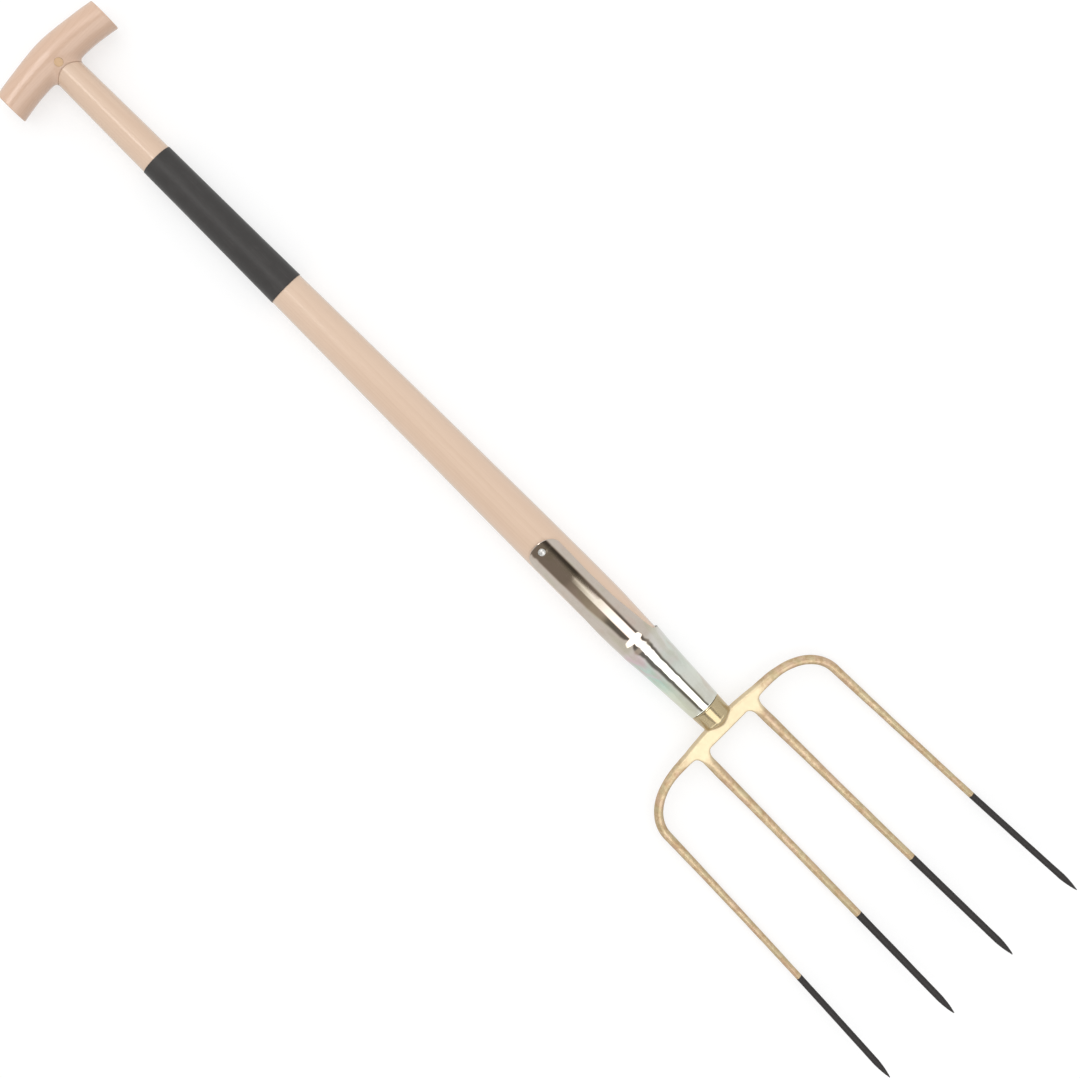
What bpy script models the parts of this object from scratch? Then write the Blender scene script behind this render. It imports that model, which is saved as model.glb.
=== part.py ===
"""A four-tined manure fork with a wooden T-grip.

The tool is modelled upright, as it is drawn in a workshop: +Z runs up the shaft to the
grip, X runs across the tines and the front looks along -Y. An empty then lays it down on
its back, with the front up, the grip towards +Y and the floor at Z = 0. There it rests on
the rim of its ferrule and on the bellies of its tines, as the real one does.
All sizes are in metres. "Down" sizes are measured down the shaft from the grip's crown.
"""

import math

import bmesh
import bpy
from mathutils import Matrix, Vector

# Clearances
FIT_GAP = 0.0003          # between two pieces that seat on each other

# Shaft, as diameters down its length
SHAFT_PROFILE = [
    (0.000, 0.0268),
    (0.040, 0.0276),
    (0.110, 0.0296),
    (0.180, 0.0308),
    (0.243, 0.0321),
    (0.345, 0.0349),
    (0.430, 0.0374),
    (0.501, 0.0389),
    (0.589, 0.0409),
    (0.640, 0.0415),
    (0.674, 0.0415),
    (0.690, 0.0408),
    (0.706, 0.0394),
    (0.724, 0.0380),
    (0.732, 0.0377),
    (0.741, 0.0361),
    (0.750, 0.0348),
    (0.770, 0.0327),
    (0.8085, 0.0288),
]
SHAFT_LENGTH = SHAFT_PROFILE[-1][0]
SWELL_DOWN = 0.657        # where it is thickest
SHAFT_SIDES = 40

# T-grip
GRIP_WIDTH = 0.112
GRIP_BOW_R = 0.300        # the bar's axis is an arc with its crown up
GRIP_MID_R = 0.0169
GRIP_END_R = 0.0155
GRIP_SWELL = 0.0360       # the thicker middle has melted away this far out
GRIP_END_CHAMFER = 0.0010
GRIP_SIDES = 32
HUB_R = 0.0138            # the hub is flush with the shaft
HUB_FILLET_SIDE = 0.0048  # its hollow fillet into the bar
HUB_FILLET_FRONT = 0.0030
HUB_SINK = 0.985          # the fillet ends inside the bar, at this share of its radius
HUB_ROOT = 0.6            # and the hub's root at this one
SEAM_DOWN = 0.0365        # the joint with the shaft, measured at its sides
SEAM_R = 0.0215           # the joint is coped to this radius
TENON_R = 0.0085
TENON_RISE = 0.0240       # above the joint
DOWEL_R = 0.0038
DOWEL_DOWN = 0.0264
DOWEL_DEPTH = 0.0230

# Label band
LABEL_DOWN = 0.1369
LABEL_LENGTH = 0.1533
LABEL_FILM = 0.0003

# Strapped ferrule, one pressed sheet: a closed cone with a tongue up the shaft's front
SHEET = 0.0015
CONE_DOWN = 0.7282        # the cone's rim
CONE_PAST_WOOD = 0.0008   # it ends a little below the wood
RIM_FLARE = 0.0002        # its rim is belled this much
RIM_FLARE_LENGTH = 0.0050
TONGUE_TOP_DOWN = 0.5987
TONGUE_END_ROUND = 0.0150 # length of its rounded end
TONGUE_HALF_WIDTHS = [    # round the wood; it widens towards the cone
    (0.6500, 0.0187),
    (0.6780, 0.0205),
    (0.6930, 0.0229),
    (0.7080, 0.0255),
    (0.7180, 0.0274),
    (0.7240, 0.0291),
    (0.7270, 0.0307),
    (CONE_DOWN, 0.0335),
]
FERRULE_TURN = math.radians(-14)   # it was driven on a little turned
FERRULE_SIDES = 40

# Strap nail
NAIL_BELOW_TOP = 0.0077   # from the tongue's top to the nail
NAIL_HEAD_R = 0.0034
NAIL_HEAD_RISE = 0.0015
NAIL_SHANK_R = 0.0016
NAIL_LENGTH = 0.0170

# Fork head: tang and neck
TANG_LENGTH = 0.0970
TANG_ROOT = 0.0120        # across the flats
TANG_TIP = 0.0035
NECK_TOP_R = 0.01575
NECK_FOOT_R = 0.0150
NECK_LENGTH = 0.0177      # from the ferrule down to the crossbar's top edge
CHIN_LENGTH = 0.0067      # the neck's cone, down over the crossbar's face
CHIN_R = 0.0028           # where the cone sinks into the crossbar's face

# Fork head: crossbar and tines, as distances below the crossbar's top edge
SHOULDER_START = 0.0422   # from the tool's middle to where the arm's bend begins
BAR_TOPS = [              # its top edge, from the tool's middle outwards
    (0.0180, 0.0000),
    (0.0340, 0.0014),
    (0.0380, 0.0018),
    (SHOULDER_START, 0.0023),
]
BAR_HEIGHTS = [           # its height, and then the arm's width
    (0.0180, 0.0140),
    (0.0340, 0.0125),
    (0.0380, 0.0109),
    (SHOULDER_START, 0.0094),
    (0.0480, 0.0086),
    (0.0570, 0.0084),
    (0.0770, 0.0082),
    (0.1080, 0.0084),
]
BAR_DEPTH = 0.0090
BAR_SQUARE = 8.0          # squareness of its section: 2 is an oval
SHOULDER_LENGTH = 0.0836  # along the bend into the outer tine
SHOULDER_EASE = 1.787     # 1 is a plain arc; more starts it gently
TINE_REACH = 0.3411       # from the crossbar's top edge down to the tips
POINT_LENGTH = 0.0165     # of the sharpened points
POINT_DROP = TINE_REACH - POINT_LENGTH
TIP_WIDTH = 0.0010
TINE_DISH_R = 0.550       # the tines are bent to this radius, hollow side up
TINE_OVAL = 2.3           # squareness of the tines' section
OUTER_SPLAY = math.radians(2.5)
OUTER_WIDTHS = [
    (0.044, 0.0084),
    (0.064, 0.0081),
    (0.102, 0.0072),
    (0.152, 0.0066),
    (0.202, 0.0062),
    (POINT_DROP, 0.0061),
    (TINE_REACH, TIP_WIDTH),
]
INNER_ROOT_HALF = 0.0323  # from the tool's middle to the inner tine's root
INNER_SPLAY = math.radians(0.9)
INNER_WIDTHS = [
    (0.028, 0.0098),
    (0.040, 0.0101),
    (0.054, 0.0095),
    (0.074, 0.0089),
    (0.123, 0.0078),
    (0.202, 0.0073),
    (POINT_DROP, 0.0065),
    (TINE_REACH, TIP_WIDTH),
]
INNER_FILLET_WIDTH = 0.0060   # between the crossbar and the inner tine
INNER_FILLET_LENGTH = 0.0100
INNER_TONGUE = 0.0160     # the crossbar's flat face runs this far down the inner tine
INNER_SINK = 0.0008       # the fillet starts this far inside the crossbar
TINE_DEPTHS = [
    (0.014, BAR_DEPTH),
    (0.044, 0.0098),
    (0.064, 0.0095),
    (0.102, 0.0086),
    (0.152, 0.0079),
    (POINT_DROP, 0.0068),
    (TINE_REACH, TIP_WIDTH),
]
POINT_BULGE = 0.12        # the points are a little fuller than a straight taper
TINE_SIDES = 16

# Sizes that follow from the ones above
NECK_TOP_DOWN = SHAFT_LENGTH + CONE_PAST_WOOD + FIT_GAP
BAR_TOP_DOWN = NECK_TOP_DOWN + NECK_LENGTH
BAR_HEIGHT = BAR_HEIGHTS[0][1]
TOTAL_LENGTH = BAR_TOP_DOWN + TINE_REACH
ARM_DROP = BAR_TOPS[-1][1] + BAR_HEIGHTS[3][1] / 2
NAIL_DOWN = TONGUE_TOP_DOWN + NAIL_BELOW_TOP
SEAM_AXIS_DOWN = SEAM_DOWN - SEAM_R


def up(down):
    """Height of a point that lies so far down the shaft from the grip's crown."""
    return TOTAL_LENGTH / 2 - down


def smooth(x):
    """Eases from 0 to 1 as x goes from 0 to 1."""
    x = min(max(x, 0.0), 1.0)
    return x * x * (3 - 2 * x)


def between(x, stations):
    """Value at x on straight runs between (x, value) stations."""
    if x <= stations[0][0]:
        return stations[0][1]
    for (x0, v0), (x1, v1) in zip(stations, stations[1:]):
        if x <= x1:
            return v0 + (v1 - v0) * (x - x0) / (x1 - x0)
    return stations[-1][1]


def slope_at(i, stations):
    """Slope of the smooth curve through the stations at one of them."""
    x0, v0 = stations[max(i - 1, 0)]
    x1, v1 = stations[min(i + 1, len(stations) - 1)]
    return (v1 - v0) / (x1 - x0)


def curve_between(x, stations):
    """Value at x on the smooth curve through (x, value) stations."""
    x = min(max(x, stations[0][0]), stations[-1][0])
    i = 0
    while x > stations[i + 1][0]:
        i += 1
    (x0, v0), (x1, v1) = stations[i], stations[i + 1]
    run = x1 - x0
    share = (x - x0) / run
    near, far = slope_at(i, stations) * run, slope_at(i + 1, stations) * run
    bend = share * (1 - share)
    ease = smooth(share)
    return v0 + (v1 - v0) * ease + bend * ((1 - share) * near - share * far)


# Scene helpers

def clear_scene():
    for old in list(bpy.data.objects):
        bpy.data.objects.remove(old, do_unlink=True)
    for name in ("Manure fork", "Cutters"):
        bpy.context.scene.collection.children.link(bpy.data.collections.new(name))


def finish_material(name, colour, roughness, metallic):
    material = bpy.data.materials.new(name)
    material.use_nodes = True
    shader = material.node_tree.nodes["Principled BSDF"]
    shader.inputs["Base Color"].default_value = (*colour, 1.0)
    shader.inputs["Roughness"].default_value = roughness
    shader.inputs["Metallic"].default_value = metallic
    return material


def add_part(name, mesh, material):
    """Puts a finished piece on the tool, shaded smooth over its round stretches."""
    part = bpy.data.objects.new(name, mesh)
    mesh.materials.append(material)
    bpy.data.collections["Manure fork"].objects.link(part)
    return part


def add_cutter(name, mesh):
    cutter = bpy.data.objects.new(name, mesh)
    cutter.hide_render = True
    cutter.display_type = "WIRE"
    bpy.data.collections["Cutters"].objects.link(cutter)
    return cutter


def boolean(part, cutter, operation="DIFFERENCE"):
    modifier = part.modifiers.new(cutter.name, "BOOLEAN")
    modifier.operation = operation
    modifier.solver = "EXACT"
    modifier.object = cutter


def soften(mesh, angle=35):
    mesh.shade_smooth()
    mesh.set_sharp_from_angle(angle=math.radians(angle))


def mesh_from_bmesh(name, shape):
    mesh = bpy.data.meshes.new(name)
    shape.to_mesh(mesh)
    shape.free()
    soften(mesh)
    return mesh


# Shapes that several pieces use

def turned_mesh(name, outline):
    """Half outline of a piece on the shaft's axis as (radius, down) points, top to bottom."""
    return upright_outline(name, [(radius, up(down)) for radius, down in outline])


def upright_outline(name, outline):
    """Half outline of a small turned piece as (radius, height) points, top to bottom."""
    shape = bmesh.new()
    points = [shape.verts.new((radius, 0.0, height)) for radius, height in outline]
    for upper, lower in zip(points, points[1:]):
        shape.edges.new((upper, lower))
    mesh = bpy.data.meshes.new(name)
    shape.to_mesh(mesh)
    shape.free()
    return mesh


def spin_outline(part, sides):
    """Turns an outline round the shaft's axis."""
    screw = part.modifiers.new("Turn", "SCREW")
    screw.axis = "Z"
    screw.steps = sides
    screw.render_steps = sides
    screw.use_merge_vertices = True
    screw.merge_threshold = 0.00001
    screw.use_smooth_shade = True


def rod_mesh(name, radius, start, end, sides=24):
    """A round rod between two points."""
    shape = bmesh.new()
    run = Vector(end) - Vector(start)
    place = Matrix.Translation((Vector(start) + Vector(end)) / 2)
    turn = run.to_track_quat("Z", "Y").to_matrix().to_4x4()
    bmesh.ops.create_cone(shape, cap_ends=True, segments=sides, radius1=radius,
                          radius2=radius, depth=run.length, matrix=place @ turn)
    return mesh_from_bmesh(name, shape)


def loft_mesh(name, rings, cap_start=True, cap_end=True):
    """Skins a row of rings that have the same number of points."""
    shape = bmesh.new()
    rows = [[shape.verts.new(point) for point in ring] for ring in rings]
    for row, following in zip(rows, rows[1:]):
        for i in range(len(row)):
            j = (i + 1) % len(row)
            shape.faces.new((row[i], row[j], following[j], following[i]))
    if cap_start:
        shape.faces.new(rows[0])
    if cap_end:
        shape.faces.new(rows[-1])
    bmesh.ops.recalc_face_normals(shape, faces=shape.faces)
    return mesh_from_bmesh(name, shape)


def oval_point(angle, half_width, half_depth, square):
    """Point of a section that goes from an oval (2) to a rounded rectangle (8)."""
    cos, sin = math.cos(angle), math.sin(angle)
    across = math.copysign(abs(cos) ** (2 / square), cos) * half_width
    deep = math.copysign(abs(sin) ** (2 / square), sin) * half_depth
    return across, deep


# Profiles that pieces share

def shaft_radius(down):
    """The wood: slim at the grip, swelling down to the ferrule's cone."""
    return curve_between(down, SHAFT_PROFILE) / 2


def ferrule_radius(down):
    """Inside of the ferrule: it lies on the wood, and its rim is a little belled."""
    flare = RIM_FLARE * (1 - smooth((down - CONE_DOWN) / RIM_FLARE_LENGTH))
    return shaft_radius(down) + FIT_GAP + (flare if down >= CONE_DOWN else 0.0)


RIM_R = ferrule_radius(CONE_DOWN) + SHEET
AXIS_HEIGHT = max(RIM_R, shaft_radius(SWELL_DOWN))


# T-grip

def grip_axis_down(x):
    """Depth of the bar's axis below the crown."""
    return GRIP_MID_R + GRIP_BOW_R - math.sqrt(GRIP_BOW_R ** 2 - x ** 2)


def grip_bar_radius(x):
    ease = smooth(abs(x) / GRIP_SWELL)
    radius = GRIP_MID_R + (GRIP_END_R - GRIP_MID_R) * ease
    chamfer = abs(x) - (GRIP_WIDTH / 2 - GRIP_END_CHAMFER)
    return radius - max(chamfer, 0.0)


def grip_underside(x, y):
    """Depth of the bar's lower skin below the crown."""
    return grip_axis_down(x) + math.sqrt(grip_bar_radius(x) ** 2 - y ** 2)


def seam_down(y):
    """Depth of the coped joint with the shaft."""
    return SEAM_AXIS_DOWN + math.sqrt(SEAM_R ** 2 - y ** 2)


def grip_bar_mesh(name):
    half = GRIP_WIDTH / 2
    right = [(half - GRIP_END_CHAMFER) * (i / 10) ** 1.3 for i in range(11)] + [half]
    stations = [-x for x in reversed(right[1:])] + right
    rings = []
    for x in stations:
        radius, axis = grip_bar_radius(x), grip_axis_down(x)
        ring = []
        for i in range(GRIP_SIDES):
            angle = 2 * math.pi * i / GRIP_SIDES
            ring.append((x, radius * math.sin(angle), up(axis + radius * math.cos(angle))))
        rings.append(ring)
    return loft_mesh(name, rings)


def grip_hub_mesh(name):
    """The hub's skirt: a saddle below, a round wall, and a hollow fillet into the bar."""
    rings = [[] for _ in range(10)]
    for i in range(SHAFT_SIDES):
        angle = 2 * math.pi * i / SHAFT_SIDES
        x, y = math.sin(angle), math.cos(angle)
        skirt = seam_down(HUB_R * y) - grip_underside(HUB_R * x, HUB_R * y)
        fillet = HUB_FILLET_SIDE * x ** 2 + HUB_FILLET_FRONT * y ** 2
        start = math.asin(max(1 - skirt / fillet, 0.0))
        rows = [(HUB_R * 0.30, SEAM_DOWN - FIT_GAP)]
        rows += [(HUB_R * share, seam_down(HUB_R * share * y)) for share in (0.55, 0.8, 1.0)]
        for step in (0.24, 0.48, 0.70, 0.86):
            swing = start + (math.pi / 2 - start) * step
            reach = HUB_R + fillet * (1 - math.cos(swing))
            skin = grip_underside(reach * x, reach * y)
            rows.append((reach, skin + fillet * (1 - math.sin(swing))))
        for ring, (reach, down) in zip(rings, rows):
            ring.append((reach * x, reach * y, up(down)))
        reach = HUB_R + fillet
        skin = grip_underside(reach * x, reach * y) - GRIP_MID_R
        for ring, sunk in zip(rings[-2:], (HUB_SINK, HUB_ROOT)):
            ring.append((reach * x, reach * y * sunk, up(GRIP_MID_R + skin * sunk)))
    return loft_mesh(name, rings)


def dowel_mesh(name, grow):
    """The peg, or its hole when it is made a little larger."""
    height = up(DOWEL_DOWN)
    depth = math.sqrt(GRIP_MID_R ** 2 - (DOWEL_DOWN - GRIP_MID_R) ** 2)
    return rod_mesh(name, DOWEL_R + grow, (0, -2 * GRIP_MID_R, height),
                    (0, DOWEL_DEPTH - depth + grow, height), 32)


def build_grip(material):
    grip = add_part("t_grip", grip_bar_mesh("t_grip"), material)
    boolean(grip, add_cutter("grip_hub", grip_hub_mesh("grip_hub")), "UNION")
    socket = rod_mesh("tenon_socket", TENON_R + FIT_GAP, (0, 0, up(SEAM_DOWN + SEAM_R)),
                      (0, 0, up(SEAM_DOWN - TENON_RISE - FIT_GAP)), 32)
    boolean(grip, add_cutter("tenon_socket", socket))
    return grip


def build_dowel(material, grip, shaft):
    """The peg is sanded flush, so it takes its face from the grip's uncut shape."""
    blank = add_cutter("grip_blank", grip_bar_mesh("grip_blank"))
    boolean(blank, bpy.data.objects["grip_hub"], "UNION")
    dowel = add_part("grip_dowel", dowel_mesh("grip_dowel", 0.0), material)
    boolean(dowel, blank, "INTERSECT")
    hole = add_cutter("dowel_hole", dowel_mesh("dowel_hole", FIT_GAP))
    boolean(grip, hole)
    boolean(shaft, hole)
    return dowel


# Shaft

def build_shaft(material):
    ears = SEAM_DOWN - SEAM_R / 2
    downs = [ears] + [down for down, _ in SHAFT_PROFILE if down > ears]
    downs = sorted(downs + [(a + b) / 2 for a, b in zip(downs, downs[1:]) if b - a < 0.03])
    outline = [(0.0, ears)] + [(shaft_radius(down), down) for down in downs]
    outline.append((0.0, SHAFT_LENGTH))
    shaft = add_part("shaft", turned_mesh("shaft", outline), material)
    spin_outline(shaft, SHAFT_SIDES)
    wide = 2 * SEAM_R
    cope = rod_mesh("cope_cutter", SEAM_R + FIT_GAP, (-wide, 0, up(SEAM_AXIS_DOWN)),
                    (wide, 0, up(SEAM_AXIS_DOWN)), 72)
    boolean(shaft, add_cutter("cope_cutter", cope))
    tenon = rod_mesh("tenon", TENON_R, (0, 0, up(SEAM_DOWN + TENON_R)),
                     (0, 0, up(SEAM_DOWN - TENON_RISE)), 32)
    boolean(shaft, add_cutter("tenon", tenon), "UNION")
    boolean(shaft, add_cutter("tang_hole", tang_mesh("tang_hole", FIT_GAP)))
    return shaft


# Label band

def build_label(material):
    downs = [LABEL_DOWN + LABEL_LENGTH * i / 5 for i in range(6)]
    inner = [(shaft_radius(down) + FIT_GAP, down) for down in downs]
    outer = [(radius + LABEL_FILM, down) for radius, down in inner]
    band = add_part("label_band", turned_mesh("label_band", outer + inner[::-1] + outer[:1]),
                    material)
    spin_outline(band, SHAFT_SIDES)
    return band


# Strapped ferrule

def ferrule_point(angle, down):
    radius = ferrule_radius(down)
    angle += FERRULE_TURN
    return radius * math.sin(angle), -radius * math.cos(angle), up(down)


def tongue_half_angle(down):
    return curve_between(down, TONGUE_HALF_WIDTHS) / ferrule_radius(down)


def ferrule_sheet():
    """Inside of the sheet: rows down the tongue, then closed rows down the cone."""
    shape = bmesh.new()
    pitch = 2 * math.pi / FERRULE_SIDES
    wing = round(tongue_half_angle(CONE_DOWN) / pitch)
    along = 22
    rows = []
    for i in range(along + 1):
        share = 1 - (1 - i / along) ** 1.5
        row = []
        for j in range(-wing, wing + 1):
            rounded = math.sin(math.pi / 2 * j / wing)
            start = TONGUE_TOP_DOWN + TONGUE_END_ROUND * (1 - math.cos(math.pi / 2 * j / wing))
            down = start + (CONE_DOWN - start) * share
            side = rounded + (j / wing - rounded) * smooth(share)
            row.append(shape.verts.new(ferrule_point(side * tongue_half_angle(down), down)))
        rows.append(row)
    for row, following in zip(rows, rows[1:]):
        for j in range(2 * wing):
            shape.faces.new((row[j], following[j], following[j + 1], row[j + 1]))
    cone_end = SHAFT_LENGTH + CONE_PAST_WOOD
    ring = rows[-1] + [shape.verts.new(ferrule_point(j * pitch, CONE_DOWN))
                       for j in range(wing + 1, FERRULE_SIDES - wing)]
    for i in range(1, 10):
        down = CONE_DOWN + (cone_end - CONE_DOWN) * (i / 9) ** 1.5
        following = [shape.verts.new(ferrule_point(j * pitch, down))
                     for j in range(-wing, FERRULE_SIDES - wing)]
        for j in range(FERRULE_SIDES):
            k = (j + 1) % FERRULE_SIDES
            shape.faces.new((ring[j], following[j], following[k], ring[k]))
        ring = following
    return mesh_from_bmesh("strap_ferrule", shape)


def build_ferrule(material):
    ferrule = add_part("strap_ferrule", ferrule_sheet(), material)
    shell = ferrule.modifiers.new("Sheet", "SOLIDIFY")
    shell.thickness = SHEET
    shell.offset = 1.0
    shell.use_even_offset = True
    return ferrule


# Strap nail

def build_nail(material, ferrule, shaft):
    seat = SHEET + FIT_GAP
    outline = []
    for i in range(6):
        swing = math.pi / 2 * i / 5
        outline.append((NAIL_HEAD_R * math.sin(swing), seat + NAIL_HEAD_RISE * math.cos(swing)))
    outline += [(NAIL_SHANK_R, seat), (NAIL_SHANK_R, seat - NAIL_LENGTH * 0.8),
                (0.0, seat - NAIL_LENGTH)]
    hole_r = NAIL_SHANK_R + FIT_GAP
    hole_outline = [(0.0, NAIL_LENGTH), (hole_r, NAIL_LENGTH), (hole_r, -NAIL_LENGTH),
                    (0.0, -NAIL_LENGTH)]
    nail = add_part("strap_nail", upright_outline("strap_nail", outline), material)
    hole = add_cutter("nail_hole", upright_outline("nail_hole", hole_outline))
    inward = Matrix.Translation((0, 0, up(NAIL_DOWN))) @ Matrix.Rotation(FERRULE_TURN, 4, "Z")
    at_sheet = Matrix.Translation((0, -ferrule_radius(NAIL_DOWN), 0))
    for item in (nail, hole):
        spin_outline(item, 24)
        item.matrix_basis = inward @ at_sheet @ Matrix.Rotation(math.pi / 2, 4, "X")
    boolean(ferrule, hole)
    boolean(shaft, hole)
    return nail


# Fork head

def dish(drop):
    """How far the tines run in front of the shaft's axis, and how steeply they come forward."""
    belly = AXIS_HEIGHT - between(TINE_DISH_R * 0.24, TINE_DEPTHS) / 2
    pitch = math.acos(1 - belly / TINE_DISH_R)
    run = drop - TINE_DISH_R * math.sin(pitch)
    fall = math.sqrt(TINE_DISH_R ** 2 - run ** 2)
    return TINE_DISH_R * math.cos(pitch) - fall, run / fall


def section_ring(x, drop, heading, width, depth, square):
    """Section across a bar that lies in the dished face; heading 0 runs sideways."""
    forward, slope = dish(drop)
    centre = Vector((x, -forward, up(BAR_TOP_DOWN + drop)))
    along = Vector((0, -slope, -1)).normalized()
    facing = Vector((0, -1, slope)).normalized()
    sideways = Vector((1, 0, 0))
    broad = math.cos(heading) * along - math.sin(heading) * sideways
    ring = []
    for i in range(TINE_SIDES):
        angle = 2 * math.pi * (i + 0.5) / TINE_SIDES
        across, deep = oval_point(angle, width / 2, depth / 2, square)
        ring.append(centre + broad * across + facing * deep)
    return ring


def tine_rings(root_x, root_drop, splay, widths, steps):
    """Sections down a straight tine: its tapering length, then its sharpened point."""
    drops = [root_drop + (POINT_DROP - root_drop) * i / steps for i in range(1, steps + 1)]
    drops += [POINT_DROP + POINT_LENGTH * share for share in (0.4, 0.75, 1.0)]
    rings = []
    for drop in drops:
        share = min(max((drop - POINT_DROP) / POINT_LENGTH, 0.0), 1.0)
        full = 1 + POINT_BULGE * math.sin(math.pi * share)
        x = root_x + (drop - root_drop) * math.tan(splay)
        width = between(drop, widths) * full
        depth = between(drop, TINE_DEPTHS) * full
        rings.append(section_ring(x, drop, math.pi / 2 - splay, width, depth, TINE_OVAL))
    return rings


def outer_tine_mesh():
    """Right half of the crossbar with its shoulder and outer tine, open at the middle."""
    rings = []
    for x, square in ((0.0, BAR_SQUARE), (BAR_TOPS[0][0], BAR_SQUARE), (BAR_TOPS[1][0], 7.0),
                      (BAR_TOPS[2][0], 6.0)):
        height = between(x, BAR_HEIGHTS)
        drop = between(x, BAR_TOPS) + height / 2
        rings.append(section_ring(x, drop, 0.0, height, BAR_DEPTH, square))
    x, drop, steps, fine = SHOULDER_START, ARM_DROP, 14, 10
    for i in range(steps + 1):
        heading = (math.pi / 2 - OUTER_SPLAY) * (i / steps) ** SHOULDER_EASE
        square = TINE_OVAL + (5.0 - TINE_OVAL) * (1 - smooth(i / 5))
        rings.append(section_ring(x, drop, heading, between(x, BAR_HEIGHTS),
                                  between(drop, TINE_DEPTHS), square))
        for j in range(fine if i < steps else 0):
            share = (i + (j + 0.5) / fine) / steps
            turn = (math.pi / 2 - OUTER_SPLAY) * share ** SHOULDER_EASE
            x += SHOULDER_LENGTH / steps / fine * math.cos(turn)
            drop += SHOULDER_LENGTH / steps / fine * math.sin(turn)
    rings += tine_rings(x, drop, OUTER_SPLAY, OUTER_WIDTHS, 14)
    return loft_mesh("fork_head", rings, cap_start=False)


def inner_fillet(past):
    """How far the root's hollow fillet stands out, so far past the edge that it starts at."""
    rest = 1 - min(max(past / INNER_FILLET_LENGTH, 0.0), 1.0)
    return INNER_FILLET_WIDTH * (1 - math.sqrt(1 - rest ** 2))


def inner_tine_mesh():
    """Right inner tine, from inside the crossbar down to its point."""
    skin = 0.00005
    edge = BAR_HEIGHT - INNER_SINK
    arm_edge = ARM_DROP + between(SHOULDER_START, BAR_HEIGHTS) / 2 - INNER_SINK
    drops = [edge * 0.45, arm_edge, (arm_edge + edge) / 2]
    drops += [edge + INNER_FILLET_LENGTH * share
              for share in (0.0, 0.06, 0.17, 0.32, 0.52, 0.75, 1.0)]
    drops += [edge + INNER_FILLET_LENGTH + (INNER_TONGUE - INNER_FILLET_LENGTH) * share
              for share in (0.5, 1.0)]
    rings = []
    for drop in drops:
        inside, outside = inner_fillet(drop - edge), inner_fillet(drop - arm_edge)
        melt = smooth((drop - edge) / INNER_TONGUE)
        square = BAR_SQUARE + (TINE_OVAL - BAR_SQUARE) * math.sqrt(melt)
        width = between(drop, INNER_WIDTHS) + inside + outside
        depth = between(drop, TINE_DEPTHS) - 2 * skin
        x = INNER_ROOT_HALF + (drop - edge) * math.tan(INNER_SPLAY) + (outside - inside) / 2
        rings.append(section_ring(x, drop, math.pi / 2 - INNER_SPLAY, width, depth, square))
    rings += tine_rings(x, drop, INNER_SPLAY, INNER_WIDTHS, 14)
    return loft_mesh("inner_tines", rings)


def tang_mesh(name, grow):
    """The square spike in the wood, or its hole when it is made a little larger."""
    into_neck = NECK_LENGTH / 4
    taper = (TANG_ROOT - TANG_TIP) / TANG_LENGTH
    foot = up(NECK_TOP_DOWN + into_neck)
    tip = up(NECK_TOP_DOWN - TANG_LENGTH - grow)
    root_half = (TANG_ROOT + taper * into_neck) / 2 + grow
    tip_half = TANG_TIP / 2 + grow
    shape = bmesh.new()
    place = Matrix.Translation((0, 0, (foot + tip) / 2)) @ Matrix.Rotation(math.pi / 4, 4, "Z")
    bmesh.ops.create_cone(shape, cap_ends=True, segments=4, radius1=root_half * math.sqrt(2),
                          radius2=tip_half * math.sqrt(2), depth=tip - foot, matrix=place)
    return mesh_from_bmesh(name, shape)


def build_head(material):
    head = add_part("fork_head", outer_tine_mesh(), material)
    head.modifiers.new("Left half", "MIRROR").merge_threshold = 0.00001
    inner = add_cutter("inner_tines", inner_tine_mesh())
    inner.modifiers.new("Left tine", "MIRROR").merge_threshold = 0.00001
    boolean(head, inner, "UNION")
    edge = FIT_GAP * 2
    chin = BAR_TOP_DOWN + CHIN_LENGTH
    outline = [(0.0, NECK_TOP_DOWN), (NECK_TOP_R - edge, NECK_TOP_DOWN),
               (NECK_TOP_R, NECK_TOP_DOWN + edge), (NECK_FOOT_R, BAR_TOP_DOWN),
               (CHIN_R, chin), (0.0, chin + CHIN_R / 2)]
    neck = add_cutter("neck", turned_mesh("neck", outline))
    spin_outline(neck, SHAFT_SIDES)
    boolean(head, neck, "UNION")
    boolean(head, add_cutter("tang", tang_mesh("tang", 0.0)), "UNION")
    return head


def lay_down():
    """Lays the upright tool on its back: the front turns up and the grip to +Y."""
    lie = bpy.data.objects.new("lying_tool", None)
    bpy.context.scene.collection.objects.link(lie)
    lie.location = (0, 0, AXIS_HEIGHT)
    lie.rotation_euler = (-math.pi / 2, 0, 0)
    for item in list(bpy.data.objects):
        if item is not lie:
            item.parent = lie


def main():
    clear_scene()
    grip_wood = finish_material("grip_beech", (0.66, 0.46, 0.31), 0.45, 0.0)
    shaft_wood = finish_material("shaft_ash", (0.78, 0.60, 0.45), 0.5, 0.0)
    peg_wood = finish_material("dowel_wood", (0.62, 0.44, 0.22), 0.6, 0.0)
    film = finish_material("label_film", (0.08, 0.08, 0.08), 0.45, 0.0)
    zinc = finish_material("zinc_plate", (0.62, 0.63, 0.60), 0.22, 1.0)
    nail_zinc = finish_material("nail_zinc", (0.60, 0.60, 0.58), 0.3, 1.0)
    lacquer = finish_material("gold_lacquer", (0.76, 0.58, 0.33), 0.4, 0.6)

    grip = build_grip(grip_wood)
    shaft = build_shaft(shaft_wood)
    build_dowel(peg_wood, grip, shaft)
    build_label(film)
    ferrule = build_ferrule(zinc)
    build_nail(nail_zinc, ferrule, shaft)
    build_head(lacquer)
    lay_down()


main()
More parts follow.
